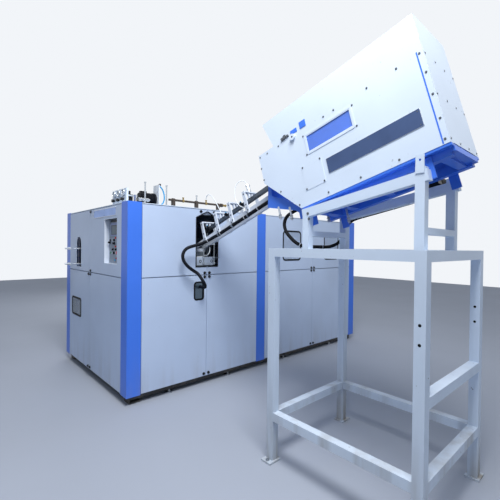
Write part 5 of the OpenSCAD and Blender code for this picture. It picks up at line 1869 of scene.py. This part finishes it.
@dataclass
class UnscramblerFittings(Fittings):
    """The bare plate, the pane, the seams and the screws of the unscrambler's covers.

    Attributes:
        face: Distance of a side cover's outer face from the middle.
        plate: The bare plate's lowest and highest corner, along the slope and up.
        seam: The same of the blue seam by a cover's end.
        window: The same of the peep window.
        lap: How far the pane reaches behind the window's edge.
        corners: The screws round the peep window.
        end_rows: The screws on the end: their places across and up.
        clamps: The blue clamps: where they start and end along, and their height.
        knobs: The knobs: along, up and their radius.
    """

    face: float = 245.0
    plate: tuple[Pair, Pair] = ((297, 152), (962, 263))
    seam: tuple[Pair, Pair] = ((1022, 4), (1030, 583))
    window: tuple[Pair, Pair] = ((170, 376), (557, 511))
    lap: float = 6.0
    corners: tuple[Pair, ...] = ((150, 368), (150, 519), (577, 368), (577, 519))
    end_rows: tuple[tuple[float, ...], tuple[float, ...]] = ((-225, -75, 75, 225), (24, 300, 562))
    clamps: tuple[Point, ...] = ((44, 108, 618), (138, 196, 640))
    knobs: tuple[Point, ...] = ((-46, 596, 16), (-18, 602, 20), (12, 598, 13))

    def near(self, u: float, v: float, off: float) -> Vector:
        """Returns a point on the near side cover, off its face."""
        return self.shop.draw.on(HOPPER)(-self.face - off, u, v)

    def far(self, u: float, v: float, off: float) -> Vector:
        """Returns a point on the far side cover, off its face."""
        return self.shop.draw.on(HOPPER)(self.face + off, u, v)

    def bare_plate(self) -> None:
        """Makes the bare plate, its thin rim and its rivets."""
        plate, rim = Solid(self.near), Solid(self.near)
        plate.box((*self.plate[0], 0.05), (*self.plate[1], 1.6), 0.5)
        self.add("side_plate", plate, "plate_grey", BARE_PLATE)
        rim.rim(*self.plate, 2, ((-5, 1.5), (-4, 3), (-1, 3), (0.8, 2), (0.8, 0.05), (-5, 0.05)))
        self.add("side_plate_rim", rim, "aluminium", RIM_STEEL)
        seats = [(self.near(u, v, 2), TO_END) for u, v in inset_grid(*self.plate, 16, 14, 3)]
        self.shop.screws("side_plate_rivets", seats, 3)

    def peep_window(self) -> None:
        """Makes the peep window's tinted pane and its thin rim."""
        pane, rim = Solid(self.near), Solid(self.near)
        (u0, v0), (u1, v1) = self.window
        pane.box((u0 - self.lap, v0 - self.lap, -4.9), (u1 + self.lap, v1 + self.lap, -3.1))
        self.add("peep_pane", pane, "clear_pane", BLUE_PANE)
        rim.rim(*self.window, 2, ((-8.6, 2.1), (-8.6, 3), (12.6, 3), (13, 2.4), (13, 0.05), (-8.6, 0.05)))
        self.add("peep_rim", rim, "white_paint", WHITE_COAT)

    def screws(self) -> None:
        """Sets the covers' screws on both sides and on the end."""
        seats = [(self.near(u, v, 2.4), TO_END) for u, v in COVER_HATCH]
        seats += [(self.near(u, v, 0.3), TO_END) for u, v in (*self.corners, *COVER_EDGES)]
        seats += [(self.far(u, v, 0.3), -TO_END) for u, v in COVER_EDGES]
        place = self.shop.draw.on(HOPPER)
        out = (place(0, 1, 0) - place(0, 0, 0)).normalized()
        across, up = self.end_rows
        seats += [(place(x, 1063.3, v), out) for x in across for v in up]
        self.shop.screws("cover_screws", seats, 5.5)

    def sorter_bits(self) -> None:
        """Makes the adjusting clamps above the near cover's edge and the blue seam at each cover's end."""
        blue, knobs, face = self.solid(HOPPER), self.solid(HOPPER), self.face
        for u0, u1, v1 in self.clamps:
            blue.box((-face - 3.4, u0, 586.2), (-face + 8, u1, v1), 2)
        for side in (-1, 1):
            low, high = sorted((side * (face - 2), side * (face + 0.7)))
            blue.box((low, *self.seam[0]), (high, *self.seam[1]))
        self.add("blue_sorter_clamps", blue, "blue_paint", BLUE_COAT)
        for u, v, radius in self.knobs:
            shape = ((radius, -6), (radius, 6), (radius - 4, 9), (radius - 4, 14))
            knobs.lathe(shape, knobs.spot((-face + 4, u, v), TO_END))
        self.add("sorter_knobs", knobs, "zinc_steel", SCREW_STEEL)

    def build(self) -> None:
        """Makes all of the unscrambler's fittings."""
        self.bare_plate()
        self.peep_window()
        self.screws()
        self.sorter_bits()


@dataclass
class StandFittings(Fittings):
    """Anchor bolts, dark discs painted as the shade in the legs' bolt holes, frame bolts and the nuts on the
    levelling studs.

    Attributes:
        legs_x: The outer legs' middles from the feeder's middle line.
        legs_y: The legs' middles from the cabinet's face.
        leg: Width of a leg's square tube.
        hole_z: Heights of the bolt holes in the outer legs.
        hole: Profile of the dark disc painted as the shade inside a hole.
        foot_out: How far an anchor stands outside its leg's middle.
        foot_top: Height of a foot plate.
        studs: The studs on the unscrambler's frame: x, along and the height of the lower nut's seat.
        nut_lifts: Heights of the two nuts over that.
        nut: Profile of a nut.
        lug: The lugs' bolts: distance from the middle, and along.
        lug_heights: Their heights.
    """

    legs_x: float = 450.0
    legs_y: Pair = (1488.0, 2538.0)
    leg: float = 60.0
    hole_z: Pair = (1071.0, 1172.0)
    hole: Profile = ((8.5, -1), (8.5, 0.4), (7.5, 0.5))
    foot_out: float = 48.0
    foot_top: float = 12.0
    studs: tuple[Point, ...] = ((0, 52, -108), (0, 221, -166), (-201, -144, -38), (-201, -258, 8))
    nut_lifts: Pair = (4, 24)
    nut: Profile = ((8.2, 0), (14, 0.6), (14, 9.4), (8.2, 10), (8.2, 0))
    lug: Pair = (270.2, 65)
    lug_heights: Pair = (-66, -106)

    def anchors(self) -> None:
        """Sets an anchor bolt with its washer in each foot plate's hole."""
        middle, out = self.shop.draw.feeder_x, self.legs_x + self.foot_out
        places = [(middle + side * out, -y, self.foot_top + 2.2) for side in (-1, 1) for y in self.legs_y]
        seats = [(self.shop.draw.at(*place), UP) for place in places]
        self.shop.screws("anchor_bolts", seats, 11, ZINC, HeadStyle.HEX)

    def leg_hole_shades(self) -> None:
        """Makes dark discs on the two outer legs' faces as painted shade in their bolt holes."""
        solid = self.solid()
        for side, face in ((-1, -1), (-1, 1), (1, -1), (1, 1)):
            x = self.shop.draw.feeder_x + side * self.legs_x + face * (self.leg / 2)
            for z in self.hole_z:
                spot = solid.spot((x, -self.legs_y[1], z), ALONG_X * face)
                # Painted shade: a black disc on the leg's face stands in for the shaded inside of a bolt
                # hole.
                solid.lathe(self.hole, spot, 20)
        self.add("leg_hole_shades", solid, "black_plastic", RUBBER)

    def frame_bolts(self) -> None:
        """Sets the bolts that hold the blue frame's lugs to the upper frame."""
        place = self.shop.draw.on(HOPPER)
        out, along = self.lug
        ends = [(place(side * out, along, v), -TO_END * side) for side in (-1, 1) for v in self.lug_heights]
        self.shop.screws("lug_bolts", ends, 8, style=HeadStyle.HEX)

    def stud_nuts(self) -> None:
        """Makes two nuts on each stud under the blue frame."""
        solid = self.solid(HOPPER)
        up = (solid.place(0, 0, 1) - solid.place(0, 0, 0)).normalized()
        for x, u, low in self.studs:
            for lift in self.nut_lifts:
                solid.lathe(self.nut, solid.spot((x, u, low + lift), up, TO_END), 6, capped=False)
        self.add("stud_nuts", solid, "zinc_steel", ZINC)

    def build(self) -> None:
        """Makes all of the stand's fittings."""
        self.anchors()
        self.leg_hole_shades()
        self.frame_bolts()
        self.stud_nuts()


# Frame nodes

FRONT_DOORS = (
    "infeed_left_panel", "infeed_right_door", "lower_right_door", "port_panel", "bay2_upper_left_door",
    "bay2_upper_right_door", "bay2_lower_left_door", "bay2_lower_right_door",
)  # fmt: skip
END_DOORS = ("control_door", "end_right_door", "end_left_door")


@dataclass
class FrameFinishes:
    """Gives every node of the frame its finish.

    Attributes:
        shop: The workshop.
        record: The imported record.
        valve_rods: Where the blower's valve rods stand along the roof.
        studs: The underframe's studs: x, along, and their lowest and highest point.
    """

    shop: Workshop
    record: Mapping[str, Any]
    valve_rods: Point = (270, 519, 910)
    studs: tuple[tuple[float, float, float, float], ...] = (
        (0, 52, -114, -61), (0, 221, -174, -61), (-201, -144, -44, 67), (-201, -258, 1, 110),
    )  # fmt: skip

    def zone(
        self, low: Point, high: Point, colour: str, roughness: float = 0.5, metallic: float = 0.0
    ) -> Zone:
        """Returns a zone whose corners are drawing millimetres."""
        at = self.shop.draw.at
        return Zone(tuple(at(*low)), tuple(at(*high)), colour, roughness, metallic)

    def sloped(
        self, slope: Slope, low: Point, high: Point, colour: str, roughness: float, metallic: float
    ) -> Zone:
        """Returns a zone on a slope; x is from the feeder's middle.

        Args:
            slope: The slope.
            low: Its lowest corner in millimetres: x, along and up.
            high: Its highest corner.
            colour: The colour there.
            roughness: The roughness there.
            metallic: How metallic it is there.

        Returns:
            The zone.
        """
        zero = self.shop.draw.at(self.shop.draw.feeder_x, slope.y, slope.z)
        corners = [(zero.x + x * MM, u * MM, v * MM) for x, u, v in (low, high)]
        return Zone(*corners, colour, roughness, metallic, (zero.y, zero.z), slope.degrees)

    def doors(self) -> None:
        """Gives the doors their coat, with black latch knobs in front of their faces."""
        for name, low, high, nodes in (
            ("front_door_coat", (0, -200, 0), (4100, -0.6, 2100), FRONT_DOORS),
            ("end_door_coat", (-200, -100, 0), (-0.6, 2200, 2100), END_DOORS),
        ):
            knobs = self.zone(low, high, "#17181b", 0.4)
            self.shop.repaint(PowderCoat(name, DOOR_COAT.colour, DOOR_COAT.roughness, (knobs,)), *nodes)

    def roof_units(self) -> None:
        """Gives the blower bright valve rods and a white plate, and the gauge block its cups and knobs."""
        rods = [
            self.zone((x - 20, 180, 1986), (x + 20, 220, 2250), "#c6ccd2", 0.25, 0.9)
            for x in self.valve_rods
        ]
        plate = self.zone((439.5, 224, 1984), (491, 353, 2230), "#dfe6ee", 0.4)
        self.shop.repaint(Moulding("blower_enamel", "#070a12", 0.42, (*rods, plate)), "blower")
        cups = self.zone((50, 240, 2064), (89.5, 630, 2200), "#c9d1da", 0.3, 0.7)
        knobs = self.zone((50, 240, 1990), (89.5, 630, 2064), "#1c1e21", 0.35)
        valves = self.zone((110.5, 240, 2006), (200, 630, 2200), "#1c1e21", 0.4)
        block = PowderCoat("gauge_block_enamel", WHITE_COAT.colour, 0.38, (cups, knobs, valves))
        self.shop.repaint(block, "gauge_manifold")

    def chute(self) -> None:
        """Gives the chute its enamel with its dark inner rails, its gate cylinder and its clips."""
        rails = self.sloped(CHUTE, (-25, -220, 109), (25, 1400, 140.2), "#59616b", 0.3, 0.8)
        cylinder = self.sloped(CHUTE, (-21, 769, 205.05), (21, 811, 292), "#cfd6df", 0.25, 0.85)
        clips = self.sloped(CHUTE, (-115, 250, -70), (-75.8, 850, -21), "#8d959e", 0.35, 0.8)
        zones = (rails, cylinder, clips)
        coat = PowderCoat("chute_zoned_enamel", "#d6dfec", 0.36, zones, dust=0.0, scuffs=0.6)
        self.shop.repaint(coat, "chute")

    def underframe(self) -> None:
        """Gives the underframe its blue coat with the bare studs."""
        zones = tuple(
            self.sloped(HOPPER, (x - 10, u - 10, low), (x + 10, u + 10, high), "#b9c1ca", 0.35, 0.8)
            for x, u, low, high in self.studs
        )
        self.shop.repaint(PowderCoat("underframe_coat", BLUE_COAT.colour, 0.32, zones), "blue_underframe")

    def tub(self) -> None:
        """Gives the control recess its white coat with its greyer back, and painted shade on the underside of
        its top.
        """
        back = self.zone((51.4, 260, 1370), (52.6, 604, 1837), "#8793a3", 0.45)
        # Painted shade: a dark band on the underside of the recess's top wall, where shade falls.
        top = self.zone((1, 260, 1837.5), (51.5, 604, 1838.5), "#39424f", 0.6)
        self.shop.repaint(PowderCoat("recess_coat_and_painted_shade", "#e9f2ff", 0.4, (back, top), dust=0.0), "control_tub")

    def build(self) -> None:
        """Sets the finishes by the record's slots, then the few nodes that have another."""
        for part in self.record["subparts"]:
            self.shop.repaint(SLOT_FINISH[part["material_slot"]], part["node"])
        self.doors()
        self.roof_units()
        self.chute()
        self.underframe()
        self.tub()
        for finish, *nodes in (
            (STAND_COAT, "stand_frame", "upper_frame"),
            (ROLLER_STEEL, "sorting_roller_left", "sorting_roller_right"),
            (WINDOW_PANE, "window_left", "window_right"),
            (HEADER_PAINT, "air_header"),
            (PORT_METAL, "port_plate"),
            (NAMEPLATE, "nameplate"),
        ):
            self.shop.repaint(finish, *nodes)


def main() -> None:
    """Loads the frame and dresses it."""
    logging.basicConfig(level=logging.INFO, format="%(message)s")
    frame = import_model()
    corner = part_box("post_covers")[0]
    draw = Drawing(Vector((corner.x, corner.y, 0.0)))
    Studio(draw).build()
    shop = Workshop(draw, frame["nodes"])
    for group in (
        Cords, CabinetFittings, ControlPanel, RoofFittings, ChuteFittings, InfeedFittings,
        UnscramblerFittings, StandFittings,
    ):  # fmt: skip
        group(shop).build()
    FrameFinishes(shop, frame["record"]).build()


if __name__ == "__main__":
    main()
